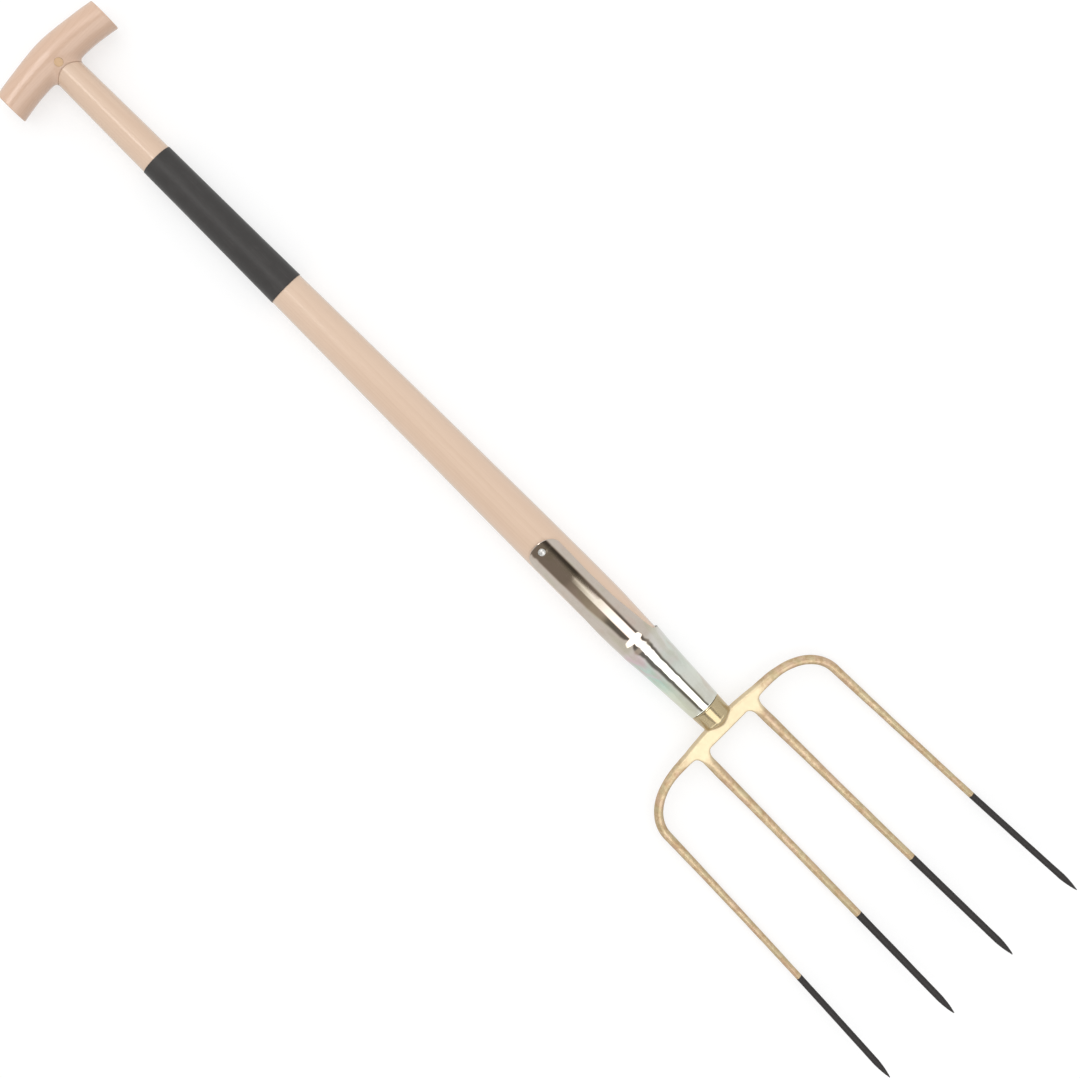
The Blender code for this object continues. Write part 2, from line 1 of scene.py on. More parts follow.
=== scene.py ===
"""Dresses the manure fork: turned ash, a blended T-grip, zinc sheet, a lacquered forging and its studio.

Lengths are in metres. The shaft lies along Y with the grip towards +Y, and the tool's front is up.
"Down" sizes are measured down the shaft from the grip's crown.
"""

import math

import bmesh
import bpy
from bpy.props import FloatProperty, FloatVectorProperty, PointerProperty
from mathutils import Matrix, Vector, noise


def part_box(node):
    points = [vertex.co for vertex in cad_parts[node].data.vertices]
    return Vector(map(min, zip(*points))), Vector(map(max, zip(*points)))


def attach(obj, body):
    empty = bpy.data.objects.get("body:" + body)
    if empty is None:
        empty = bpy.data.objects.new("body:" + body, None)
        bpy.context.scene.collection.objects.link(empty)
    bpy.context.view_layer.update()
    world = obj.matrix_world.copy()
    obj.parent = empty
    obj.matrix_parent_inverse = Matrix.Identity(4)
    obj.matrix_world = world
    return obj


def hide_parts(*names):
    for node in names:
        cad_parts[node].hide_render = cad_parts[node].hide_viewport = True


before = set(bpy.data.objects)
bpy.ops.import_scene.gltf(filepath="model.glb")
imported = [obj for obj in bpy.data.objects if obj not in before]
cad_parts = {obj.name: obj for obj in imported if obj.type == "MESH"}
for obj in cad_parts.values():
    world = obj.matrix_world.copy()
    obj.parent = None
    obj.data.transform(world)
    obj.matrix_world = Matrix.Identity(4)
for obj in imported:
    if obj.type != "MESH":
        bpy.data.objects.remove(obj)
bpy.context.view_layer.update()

bl_info = {
    "name": "Manure Fork",
    "version": (1, 0, 0),
    "blender": (4, 5, 0),
    "location": "3D View > Sidebar > Fork",
    "description": "Models and dresses a four-tined manure fork with a wooden T-grip",
    "category": "Object",
}

CROWN_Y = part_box("t_grip")[1].y
AXIS_Z = (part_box("t_grip")[0].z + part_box("t_grip")[1].z) / 2
GRIP_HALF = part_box("t_grip")[1].x
TIP_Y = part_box("fork_head")[0].y
CONE_END = CROWN_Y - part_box("strap_ferrule")[0].y
TONGUE_TOP = CROWN_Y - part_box("strap_ferrule")[1].y
LABEL_LOW_Y, LABEL_HIGH_Y = (corner.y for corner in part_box("label_band"))
SEAT_GAP = 0.00025        # between a piece and the wood under it

# Grip
BAR_MID_R = 0.0169
BAR_END_R = 0.0155
BAR_SWELL = 0.0360        # the bar has thinned to its end radius so far from the middle
BAR_BOW_R = 0.300
BAR_SPARE = 0.004         # past each cut end, trimmed off
END_ROUND = 0.0008
HUB_R = 0.0138
HUB_OUTLINE = [(0.015, 0.0150), (0.020, 0.0162), (0.026, 0.0158), (0.0310, 0.0150),
               (0.0340, 0.0144), (0.0375, HUB_R), (0.055, HUB_R)]
BLEND_HALF = 0.014        # bar and hub are smoothed in full up to this far from the middle
BLEND_FADE = 0.016        # and less and less beyond it
BLEND_LEAST = 0.04
BLEND_PASSES = 70
SEAM_R = 0.0215
SEAM_AXIS_DOWN = 0.0150
SEAM_BLOCK = (0.040, 0.040, 0.031)
SEAM_CUTTER_LENGTH = 0.08
SOCKET_OUTLINE = [(0.013, 0.0088), (0.060, 0.0088)]
DOWEL_R = 0.0038
DOWEL_DOWN = 0.0264
DOWEL_BLANK = 0.030       # trimmed to the grip's own surface
DOWEL_MID = 0.0065        # above the shaft's axis

# Band
LAP = math.radians(14)
LAP_STARTS = 0.93         # share of the film's girth where it climbs onto its own edge
LAP_CLIMB = 0.05
LAP_CLEAR = 1.1           # in thicknesses of the film

# Ferrule
SHEET = 0.0015
SHEET_EDGE = 0.0003
RIM_DOWN = 0.7282
RIM_FLARE = 0.0002        # all round but for the front
RIM_FLARE_LENGTH = 0.005
RIM_FLARE_WIDENS = 1.2    # in radians from the front, where half of it is reached
PINCH_DOWN = 0.7190       # the sheet is pressed in here, just above the rim
PINCH_DEPTH = 0.0009
PINCH_FALL = 0.0100
PINCH_BACK = 0.0320       # it comes out again over this length
PINCH_HALF = 0.30         # in radians to each side, and then it fades
PINCH_FADE = 0.60
TURN = math.radians(-14)
TONGUE_ROUND = 0.0150
TONGUE_CROWDING = 1.35    # its rows stand closer towards the rim, and the cone's too
CONE_CROWDING = 1.4
TONGUE_HALF_WIDTHS = [(0.6500, 0.0187), (0.6780, 0.0205), (0.6930, 0.0229), (0.7080, 0.0255),
                      (0.7180, 0.0274), (0.7240, 0.0291), (0.7270, 0.0307), (RIM_DOWN, 0.0335)]
EDGE_HOLD = 0.0007        # a row this near the end keeps the end's rounding narrow
CONE_STRAIGHT = 0.8040    # the cone runs on straight from here to its end
NAIL_DOWN = 0.6064
NAIL_HEAD_R = 0.0034
NAIL_HEAD_RISE = 0.0015
NAIL_START_R = 0.0002     # of the small face on top of the dome
NAIL_SHANK = [(-0.0002, 0.0033), (-0.0002, 0.0016), (-0.0130, 0.0016), (-0.0170, 0.0003)]

# Head, as distances below the crossbar's upper edge
BAR_TOP_DOWN = 0.8273
BAR_HEIGHT = 0.0140
BAR_DEPTH = 0.0090
SHOULDER_START = 0.0422
SHOULDER_LENGTH = 0.0836
SHOULDER_EASE = 1.787
OUTER_SPLAY = math.radians(2.5)
INNER_SPLAY = math.radians(0.9)
INNER_ROOT_X = 0.0323
REACH = CROWN_Y - BAR_TOP_DOWN - TIP_Y
DISH_R = 0.550
DISH_LOW_Z = 0.00418      # the tines' centre line is this high where they lie lowest
DISH_PITCH = math.acos(1 - (AXIS_Z - DISH_LOW_Z) / DISH_R)
ARM_TOP = 0.0023
ARM_HEIGHT = 0.0094
ARM_DROP = ARM_TOP + ARM_HEIGHT / 2
BAR_TOPS = [(0.018, 0.0), (0.034, 0.0014), (0.038, 0.0018), (SHOULDER_START, ARM_TOP)]
BAR_HEIGHTS = [(0.018, BAR_HEIGHT), (0.034, 0.0125), (0.038, 0.0109), (SHOULDER_START, ARM_HEIGHT),
               (0.048, 0.0086), (0.057, 0.0084), (0.077, 0.0082), (0.108, 0.0084)]
BAR_SQUARES = [(0.001, 8.0), (0.009, 8.0), (0.018, 8.0), (0.024, 7.7), (0.029, 7.4), (0.034, 7.0),
               (0.038, 6.0)]
ARM_SQUARE = 5.0          # how square a section is: 2 is an ellipse
ROOT_SQUARE = 8.0
TINE_OVAL = 2.3
SECTION_SIDES = 24
POINT_LENGTH = 0.0165
POINT_BELLY = 0.12
POINT_BLUNT = 0.17
POINT_SHARES = (0.12, 0.3, 0.5, 0.7, 0.85, 0.95, 0.99)
TIP_LOWER = 0.00020       # keeps the hammered points inside the CAD's height
TIP_LOWER_FROM = 0.20
TIP_LOWER_OVER = 0.10
ROOT_OVERLAP = 0.0008     # the inner tines reach up into the bar by this
ROOT_SINK = 0.0001        # and lie this much inside its faces
ROOT_START = 0.45         # share of the bar's height where their first ring is
FILLET_WIDTH = 0.0060     # of an inner tine's root
FILLET_LENGTH = 0.0100
MELT_LENGTH = 0.0160      # the tine has turned from flat to oval here
NECK_TOP_R = 0.01575
NECK_FOOT_R = 0.0150
NECK_CHAMFER = 0.0008
NECK_EDGE = 0.0004        # half the height of the narrow step where the neck meets the bar
NECK_EDGE_IN = 0.0006
CHIN_LENGTH = 0.0067
CHIN_R = 0.0028
CHIN_POINT_R = 0.0006
TANG_ROOT = 0.0062        # half its width
TANG_POINT = 0.00175
TANG_LENGTH = 0.101
TANG_MID = 0.0465         # above the neck's upper face
STRAIGHT_END = REACH - POINT_LENGTH
OUTER_WIDTHS = [(0.044, 0.0084), (0.064, 0.0081), (0.102, 0.0072), (0.152, 0.0066),
                (0.202, 0.0062), (STRAIGHT_END, 0.0061)]
INNER_WIDTHS = [(0.028, 0.0098), (0.040, 0.0101), (0.054, 0.0095), (0.074, 0.0089),
                (0.123, 0.0078), (0.202, 0.0073), (STRAIGHT_END, 0.0065)]
TINE_DEPTHS = [(0.014, 0.0090), (0.044, 0.0098), (0.064, 0.0095), (0.102, 0.0086),
               (0.152, 0.0079), (STRAIGHT_END, 0.0068)]
HAMMER_LUMPS = (120, 60, 120)
DIP_DOWN = 1.0503         # where the dark dip coat starts
DIP_SLANT = 0.026         # it starts a little lower on the left tines

# The room that gloss mirrors, as bands of angles in degrees: from, to and how soft. Side turns
# round the shaft from straight overhead towards +X; ahead and rise lean towards the head.
BOX_SIDE, BOX_AHEAD, BOX_MIDDLE, BOX_BOW = (-27, 12, 4), (8.2, 62, 0.9), -7, 0.07
BOX_LEVEL = (10, 18, 1.5, 2.4)
FLARE_SIDE, FLARE_RISE = (-95, 50, 6), (22.3, 28, 0.8)
SHAFT_STRIP = ((-15, -5, 3), (-16, -4, 3))
GRIP_STRIP = ((-15, 2, 4), (-38, -12, 7))
STRIP_LEVEL = 5.2
GLOW_SIDE, GLOW_AHEAD, GLOW_LEVEL = (-14, 18, 7), (-44, -14, 9), 1.6
ROOM_LEVEL, WALL_DARKNESS = 0.82, 0.75
WALL_RISE, WALL_LEFT, WALL_RIGHT, WALL_SKEW = (-2, 22.5, 1.5), (-95, -80), (19, 32), 2.2
WALL_LIFT = (7.7, 9.6, 0.0, 0.24)
WALL_LEFT_LIFT, WALL_LEFT_LIFT_ENDS = (-8, 14, 0.17, 0.0), (12, 14, 1.0, 0.0)
WALL_CONE_DROP = (12, 15, 0.0, -0.13)
WALL_WARM, WALL_PALE, WALL_PALES = (1.0, 0.86, 0.74), (1.0, 0.93, 0.87), (12, 15)
MATT_LEVEL, MATT_SLOPE = 0.86, 0.38

# Studio: each lamp's name, place, aim, size and watts
LAMPS = (("over_tines", (0.05, -0.75, 2.1), (0, -0.05, 0), 1.8, 6),
         ("over_grip", (0.05, 0.95, 1.90), (0, 0.15, 0), 1.6, 5))
FLOOR_SIZE = 14
FLOOR_Z = -0.0003
FLOOR_SHADE = 0.42        # takes the shadow
FLOOR_GLOW = 0.61         # and this lifts it to white
FLOOR_MIRRORED = (0.93, 0.94, 0.93)
FLOOR_MIRRORED_LEVEL = 0.9

# Camera, fitted to the photograph
CAMERA_DOWN = 0.4060      # it stands above this point of the shaft
CAMERA_HEIGHT = 1.650     # above the shaft's axis
AIM_DOWN = 0.5995
CAMERA_SIDE = 0.0017
CAMERA_ROLL = math.radians(44.911)
SENSOR_MM = 36
FOCAL_MM = SENSOR_MM * 1886 / 1080


def at(down):
    """Y of a point so far down the shaft from the grip's crown."""
    return CROWN_Y - down


def smooth(x):
    x = min(max(x, 0.0), 1.0)
    return x * x * (3 - 2 * x)


def between(x, stations):
    """Value at x on straight runs between (x, value) stations."""
    if x <= stations[0][0]:
        return stations[0][1]
    for (x0, v0), (x1, v1) in zip(stations, stations[1:]):
        if x <= x1:
            return v0 + (v1 - v0) * (x - x0) / (x1 - x0)
    return stations[-1][1]


def linear(red, green, blue):
    """A screen colour, 0 to 255, as the linear colour that a shader takes."""
    def one(value):
        value /= 255
        return value / 12.92 if value <= 0.04045 else ((value + 0.055) / 1.055) ** 2.4
    return one(red), one(green), one(blue)


def wood_profile():
    """The shaft's radius down its length, read from the rings of the CAD solid."""
    rings = {}
    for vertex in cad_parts["shaft"].data.vertices:
        key = round(vertex.co.y, 5)
        reach = math.hypot(vertex.co.x, vertex.co.z - AXIS_Z)
        rings[key] = max(rings.get(key, 0.0), reach)
    seam, least = at(0.0375), 0.013
    # The tenon's rings and the bore's are left out
    return sorted((CROWN_Y - y, reach) for y, reach in rings.items() if y < seam and reach > least)


WOOD = wood_profile()


def paint(name, description, default):
    """A colour that a user can change."""
    return FloatVectorProperty(name=name, description=description, default=default,
                               subtype="COLOR", min=0, max=1)


class ForkColours(bpy.types.PropertyGroup):
    """Colours of the fork's finishes"""

    ash_pale: paint("Ash, pale", "Summer wood of the shaft", linear(222, 195, 172))
    ash_deep: paint("Ash, deep", "Grain lines of the shaft", linear(196, 160, 132))
    beech_pale: paint("Beech, pale", "Ground colour of the grip", linear(216, 184, 161))
    beech_deep: paint("Beech, deep", "Grain lines of the grip", linear(184, 146, 118))
    peg: paint("Peg", "End grain of the dowel", linear(217, 180, 140))
    film: paint("Band film", "Dark film round the upper shaft", linear(62, 60, 59))
    zinc: paint("Zinc", "Zinc plate of the ferrule and nail", linear(213, 202, 191))
    lacquer: paint("Lacquer", "Golden lacquer on the forging", linear(230, 213, 177))
    # A darker copy of the lacquer for the tines: painted shade beside the bright flat face
    lacquer_tine_shade: paint("Lacquer, tan", "The lacquer as it dries on the round tines",
                       linear(210, 189, 154))
    # The deep colour also paints shade where the lacquer is seen edge on
    lacquer_deep_and_edge_shade: paint("Lacquer, deep", "Where the lacquer is thick or stained",
                        linear(186, 157, 120))
    dip: paint("Dip coat", "Dark coat on the tips", linear(44, 41, 40))
    floor: paint("Floor", "Studio floor", (0.90, 0.90, 0.90))


class ForkSizes(bpy.types.PropertyGroup):
    """Sizes that a maker would change"""

    ring_spacing: FloatProperty(
        name="Ring spacing", description="Distance between the year rings of the wood",
        default=0.0026, min=0.0005, max=0.01, unit="LENGTH")
    voxel: FloatProperty(
        name="Grip voxel", description="Fineness of the blend between the grip's bar and hub",
        default=0.0009, min=0.0004, max=0.003, unit="LENGTH")
    forging_voxel: FloatProperty(
        name="Forging voxel", description="Fineness of the blends of the forged head",
        default=0.0008, min=0.0006, max=0.003, unit="LENGTH")
    film: FloatProperty(
        name="Film", description="Thickness of the dark film",
        default=0.00016, min=0.00005, max=0.0005, unit="LENGTH")
    forging_wave: FloatProperty(
        name="Forging wave", description="How uneven the hammered surface is",
        default=0.00010, min=0.0, max=0.0005, unit="LENGTH")


# Modelling helpers

def deselect():
    if bpy.context.object and bpy.context.object.mode != "OBJECT":
        bpy.ops.object.mode_set(mode="OBJECT")
    bpy.ops.object.select_all(action="DESELECT")


def make_active(piece):
    deselect()
    piece.select_set(True)
    bpy.context.view_layer.objects.active = piece


def edit_all(piece):
    """Opens a piece in edit mode with all of it selected."""
    make_active(piece)
    bpy.ops.object.mode_set(mode="EDIT")
    bpy.ops.mesh.select_all(action="SELECT")


def bake_place():
    bpy.ops.object.transform_apply(location=True, rotation=True, scale=True)


def named(name):
    """Names the piece that was just added."""
    piece = bpy.context.active_object
    piece.name = name
    piece.data.name = name
    return piece


def add_ring(name, radius, sides, centre, turn, fill="NGON"):
    """Starts a piece with one ring and leaves it selected in edit mode."""
    deselect()
    bpy.ops.mesh.primitive_circle_add(vertices=sides, radius=radius, fill_type=fill,
                                      location=centre, rotation=turn)
    piece = named(name)
    bake_place()
    edit_all(piece)
    return piece


def pull_ring(step, scale, centre):
    """Extrudes the selected ring and scales it about a centre."""
    bpy.ops.mesh.extrude_region_move(TRANSFORM_OT_translate={"value": step})
    bpy.ops.transform.resize(value=scale, center_override=centre)


def turn_on_shaft(name, outline, sides):
    """Turns a piece round the shaft's axis from (down, radius) stations."""
    down, radius = outline[0]
    piece = add_ring(name, radius, sides, (0, at(down), AXIS_Z), (math.pi / 2, 0, 0))
    for next_down, next_radius in outline[1:]:
        ratio = next_radius / radius
        pull_ring((0, down - next_down, 0), (ratio, 1, ratio), (0, at(next_down), AXIS_Z))
        down, radius = next_down, next_radius
    outward_faces()
    return piece


def loft(name, rings):
    """Draws the first ring, extrudes it from station to station and closes both ends."""
    piece = add_ring(name, 0.01, len(rings[0]), (0, 0, 0), (0, 0, 0))
    shape = bmesh.from_edit_mesh(piece.data)
    for vertex, place in zip(shape.verts, rings[0]):
        vertex.co = place
    bmesh.update_edit_mesh(piece.data)
    for old, new in zip(rings, rings[1:]):
        bpy.ops.mesh.extrude_region_move()
        shape = bmesh.from_edit_mesh(piece.data)
        for vertex in shape.verts:
            if vertex.select:
                nearest = min(range(len(old)), key=lambda k: (vertex.co - old[k]).length_squared)
                vertex.co = new[nearest]
        bmesh.update_edit_mesh(piece.data)
    outward_faces()
    return piece


def outward_faces():
    """Merges doubles and turns the faces outwards."""
    bpy.ops.mesh.select_all(action="SELECT")
    bpy.ops.mesh.remove_doubles(threshold=0.000001)
    bpy.ops.mesh.normals_make_consistent(inside=False)
    bpy.ops.object.mode_set(mode="OBJECT")


def cut_with(piece, tool, operation="DIFFERENCE", keep_tool=False):
    make_active(piece)
    modifier = piece.modifiers.new("Cut", "BOOLEAN")
    modifier.operation = operation
    modifier.solver = "EXACT"
    modifier.object = tool
    bpy.ops.object.modifier_apply(modifier=modifier.name)
    if not keep_tool:
        bpy.data.objects.remove(tool)


def add_modifier(piece, kind, **settings):
    """Adds a modifier and applies it at once."""
    make_active(piece)
    modifier = piece.modifiers.new(kind.title(), kind)
    for key, value in settings.items():
        setattr(modifier, key, value)
    bpy.ops.object.modifier_apply(modifier=modifier.name)


def soften(piece, degrees):
    """Smooth shading, but for edges sharper than an angle."""
    make_active(piece)
    bpy.ops.object.shade_smooth_by_angle(angle=math.radians(degrees))


def copy_node(name, node):
    """A merged copy of a CAD solid, ready for smooth shading."""
    piece = bpy.data.objects.new(name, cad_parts[node].data.copy())
    bpy.context.scene.collection.objects.link(piece)
    make_active(piece)
    if piece.data.has_custom_normals:
        bpy.ops.mesh.customdata_custom_splitnormals_clear()
    edit_all(piece)
    bpy.ops.mesh.remove_doubles(threshold=0.000005)
    bpy.ops.object.mode_set(mode="OBJECT")
    return piece


def finish_piece(piece, material, slot, *nodes):
    piece.data.materials.clear()
    piece.data.materials.append(bpy.data.materials[material])
    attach(piece, "root")
    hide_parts(*nodes)
    deselect()


# Material helpers

def feed(tree, socket, value):
    """Links another socket to this one, or sets this one's own value."""
    if isinstance(value, bpy.types.NodeSocket):
        tree.links.new(value, socket)
    elif socket.type == "RGBA":
        socket.default_value = (*value[:3], 1.0)
    else:
        socket.default_value = value


def add_node(tree, kind, settings=None, **inputs):
    """Adds a node and feeds its inputs, each given by its name or as i and its number."""
    node = tree.nodes.new("ShaderNode" + kind)
    for key, value in (settings or {}).items():
        setattr(node, key, value)
    for key, value in inputs.items():
        feed(tree, node.inputs[int(key[1:]) if key[1:].isdigit() else key.replace("_", " ")], value)
    return node


def math_node(tree, operation, *values):
    inputs = {f"i{number}": value for number, value in enumerate(values)}
    return add_node(tree, "Math", {"operation": operation}, **inputs).outputs[0]


def times(tree, first, *others):
    for other in others:
        first = math_node(tree, "MULTIPLY", first, other)
    return first


def plus(tree, first, *others):
    for other in others:
        first = math_node(tree, "ADD", first, other)
    return first


def times_plus(tree, value, factor, extra):
    return math_node(tree, "MULTIPLY_ADD", value, factor, extra)


def larger(tree, first, second):
    return math_node(tree, "MAXIMUM", first, second)


def mix_colour(tree, factor, first, second):
    return add_node(tree, "Mix", {"data_type": "RGBA"}, i0=factor, i6=first, i7=second).outputs[2]


def mix_number(tree, factor, first, second):
    return add_node(tree, "Mix", {"data_type": "FLOAT"}, i0=factor, i2=first, i3=second).outputs[0]


def clamped(tree, value):
    return add_node(tree, "Clamp", None, Value=value).outputs[0]


def split(tree, vector):
    return add_node(tree, "SeparateXYZ", None, Vector=vector).outputs


def stretch(tree, vector, scale, location=(0, 0, 0), rotation=(0, 0, 0)):
    return add_node(tree, "Mapping", None, Vector=vector, Scale=scale, Location=location,
                    Rotation=rotation).outputs[0]


def speckle(tree, place, lumps, detail=3.0, rough=0.5):
    """Noise with so many lumps to a metre, which three numbers give for X, Y and Z apart."""
    if isinstance(lumps, tuple):
        place, lumps = stretch(tree, place, lumps), 1.0
    return add_node(tree, "TexNoise", None, Vector=place, Scale=lumps, Detail=detail,
                    Roughness=rough).outputs[0]


def ease(tree, value, low, high, to_low=0.0, to_high=1.0):
    """Goes smoothly from to_low to to_high while the value goes from low to high."""
    return add_node(tree, "MapRange", {"interpolation_type": "SMOOTHSTEP"}, Value=value,
                    From_Min=low, From_Max=high, To_Min=to_low, To_Max=to_high).outputs[0]


def sweep(tree, angle, low, high, to_low=0.0, to_high=1.0):
    """Eases over an angle, whose limits are in degrees."""
    return ease(tree, angle, math.radians(low), math.radians(high), to_low, to_high)


def band(tree, angle, low, high, soft):
    """1 between two angles in degrees and 0 outside them, with soft edges."""
    return times(tree, sweep(tree, angle, low - soft, low + soft),
                 sweep(tree, angle, high - soft, high + soft, 1.0, 0.0))


def new_group(name, takes, gives):
    """A shader node group with named sockets; returns the tree and its two ends."""
    tree = bpy.data.node_groups.new(name, "ShaderNodeTree")
    for label, kind, value in takes:
        socket = tree.interface.new_socket(label, in_out="INPUT", socket_type="NodeSocket" + kind)
        if value is not None:
            socket.default_value = value
    for label, kind in gives:
        tree.interface.new_socket(label, in_out="OUTPUT", socket_type="NodeSocket" + kind)
    return tree, tree.nodes.new("NodeGroupInput").outputs, tree.nodes.new("NodeGroupOutput").inputs


def place_group(tree, name, **inputs):
    return add_node(tree, "Group", {"node_tree": bpy.data.node_groups[name]}, **inputs).outputs


def new_material(name, **shader_values):
    """A material with a Principled shader; returns its tree, its shader and the object's place."""
    material = bpy.data.materials.new(name)
    material.use_nodes = True
    tree = material.node_tree
    shader = tree.nodes["Principled BSDF"]
    for key, value in shader_values.items():
        feed(tree, shader.inputs[key.replace("_", " ")], value)
    return tree, shader, add_node(tree, "TexCoord").outputs["Object"]


def join_up(tree, shader, colour, roughness, height, bump, distance):
    relief = add_node(tree, "Bump", None, Strength=bump, Distance=distance, Height=height)
    for name, value in (("Base Color", colour), ("Roughness", roughness),
                        ("Normal", relief.outputs[0])):
        feed(tree, shader.inputs[name], value)


def stronger(colour, factor, lift=0.0):
    return tuple(min(value * factor + lift, 1) for value in colour)


# Finishes, with lengths in metres and noise in lumps to a metre

def wood_figure():
    """Year rings, fibres and pores of a plank whose grain runs along Y."""
    heart_aside, heart_under, heart_lean, ring_wander = 0.052, 0.047, 0.016, 0.018
    late_wood, fibre_share, cloud_share, ground = 2.6, 0.30, 0.45, 0.32
    group, takes, gives = new_group(
        "wood figure",
        [("Place", "Vector", None), ("Pale", "Color", None), ("Deep", "Color", None),
         ("Ring spacing", "Float", 0.0026), ("Ring strength", "Float", 0.5),
         ("Pore strength", "Float", 0.5)],
        [("Colour", "Color"), ("Relief", "Float")])
    place = takes["Place"]
    parts = split(group, place)
    drift = speckle(group, place, (9, 1.3, 9), 2.0)
    wander = times_plus(group, drift, ring_wander, -ring_wander / 2)
    lean = times_plus(group, parts[1], heart_lean, heart_aside)
    across = plus(group, parts[0], wander, lean)
    deep = plus(group, parts[2], heart_under)
    reach = math_node(group, "SQRT", plus(
        group, times(group, across, across), times(group, deep, deep)))
    ring = math_node(group, "FRACT", math_node(group, "DIVIDE", reach, takes["Ring spacing"]))
    late = math_node(group, "POWER", ring, late_wood)
    line = times(group, late, ease(group, ring, 0.93, 1.0, 1.0, 0.0))
    fibre = speckle(group, place, (900, 11, 900), 4.0, 0.6)
    cloud = speckle(group, place, (30, 2.5, 30), 2.0)
    pores = ease(group, speckle(group, place, (1500, 42, 1500), 2.0), 0.60, 0.72)
    pores = times(group, pores, ease(group, ring, 0.05, 0.55, 1.0, 0.15))
    dark = times(group, line, takes["Ring strength"])
    dark = times_plus(group, fibre, fibre_share, dark)
    dark = times_plus(group, cloud, cloud_share, dark)
    dark = times_plus(group, pores, takes["Pore strength"], dark)
    dark = clamped(group, math_node(group, "SUBTRACT", dark, ground))
    feed(group, gives["Colour"], mix_colour(group, dark, takes["Pale"], takes["Deep"]))
    feed(group, gives["Relief"], times_plus(group, fibre, 0.4, times(group, pores, -0.8)))


def surface_wear():
    """Fine scratches along Y, soft blotches and grit, for film, plated and lacquered steel."""
    group, takes, gives = new_group(
        "surface wear", [("Place", "Vector", None), ("Blotch size", "Float", 60.0)],
        [("Scratches", "Float"), ("Blotches", "Float"), ("Grit", "Float")])
    place = takes["Place"]
    lines = speckle(group, place, (1800, 35, 1800), 3.0, 0.6)
    blotch = speckle(group, place, takes["Blotch size"], 4.0, 0.6)
    feed(group, gives["Scratches"], ease(group, lines, 0.40, 0.62))
    feed(group, gives["Blotches"], ease(group, blotch, 0.36, 0.66))
    feed(group, gives["Grit"], speckle(group, place, 700.0, 3.0, 0.7))


def varnished_wood(name, pale, deep, spacing, rings, pores, turn=(0, 0, 0), shift=(0, 0, 0)):
    tree, shader, place = new_material(
        name, Coat_Weight=0.8, Coat_Roughness=0.13, Coat_IOR=1.5, Specular_IOR_Level=0.3)
    figure = place_group(tree, "wood figure", Place=stretch(tree, place, (1, 1, 1), shift, turn),
                         Pale=pale, Deep=deep, Ring_spacing=spacing, Ring_strength=rings,
                         Pore_strength=pores)
    gloss = times_plus(tree, figure["Relief"], 0.15, 0.42)
    join_up(tree, shader, figure["Colour"], gloss, figure["Relief"], 0.10, 0.0001)


def peg_material(colours):
    """End grain: rings and dots on the round face."""
    tree, shader, place = new_material("peg_end_grain", Coat_Weight=0.25, Coat_Roughness=0.25)
    dots = ease(tree, speckle(tree, place, 2600.0, 2.0), 0.45, 0.7)
    rings = speckle(tree, place, (500, 60, 60), 2.0)
    dark = times_plus(tree, rings, 0.4, times(tree, dots, 0.5))
    join_up(tree, shader, mix_colour(tree, dark, colours.peg, stronger(colours.peg, 0.72)),
            times_plus(tree, dots, 0.15, 0.5), dots, 0.2, 0.0001)


def film_material(colours):
    """Dark film with faint scuffs and handling marks."""
    tree, shader, place = new_material("dark_film", Specular_IOR_Level=0.25)
    wear = place_group(tree, "surface wear", Place=place, Blotch_size=90.0)
    scuff = times(tree, wear["Blotches"], 0.35, wear["Scratches"])
    join_up(tree, shader, mix_colour(tree, scuff, colours.film, stronger(colours.film, 1.35, 0.01)),
            times_plus(tree, wear["Blotches"], 0.12, 0.36), wear["Grit"], 0.05, 0.00005)


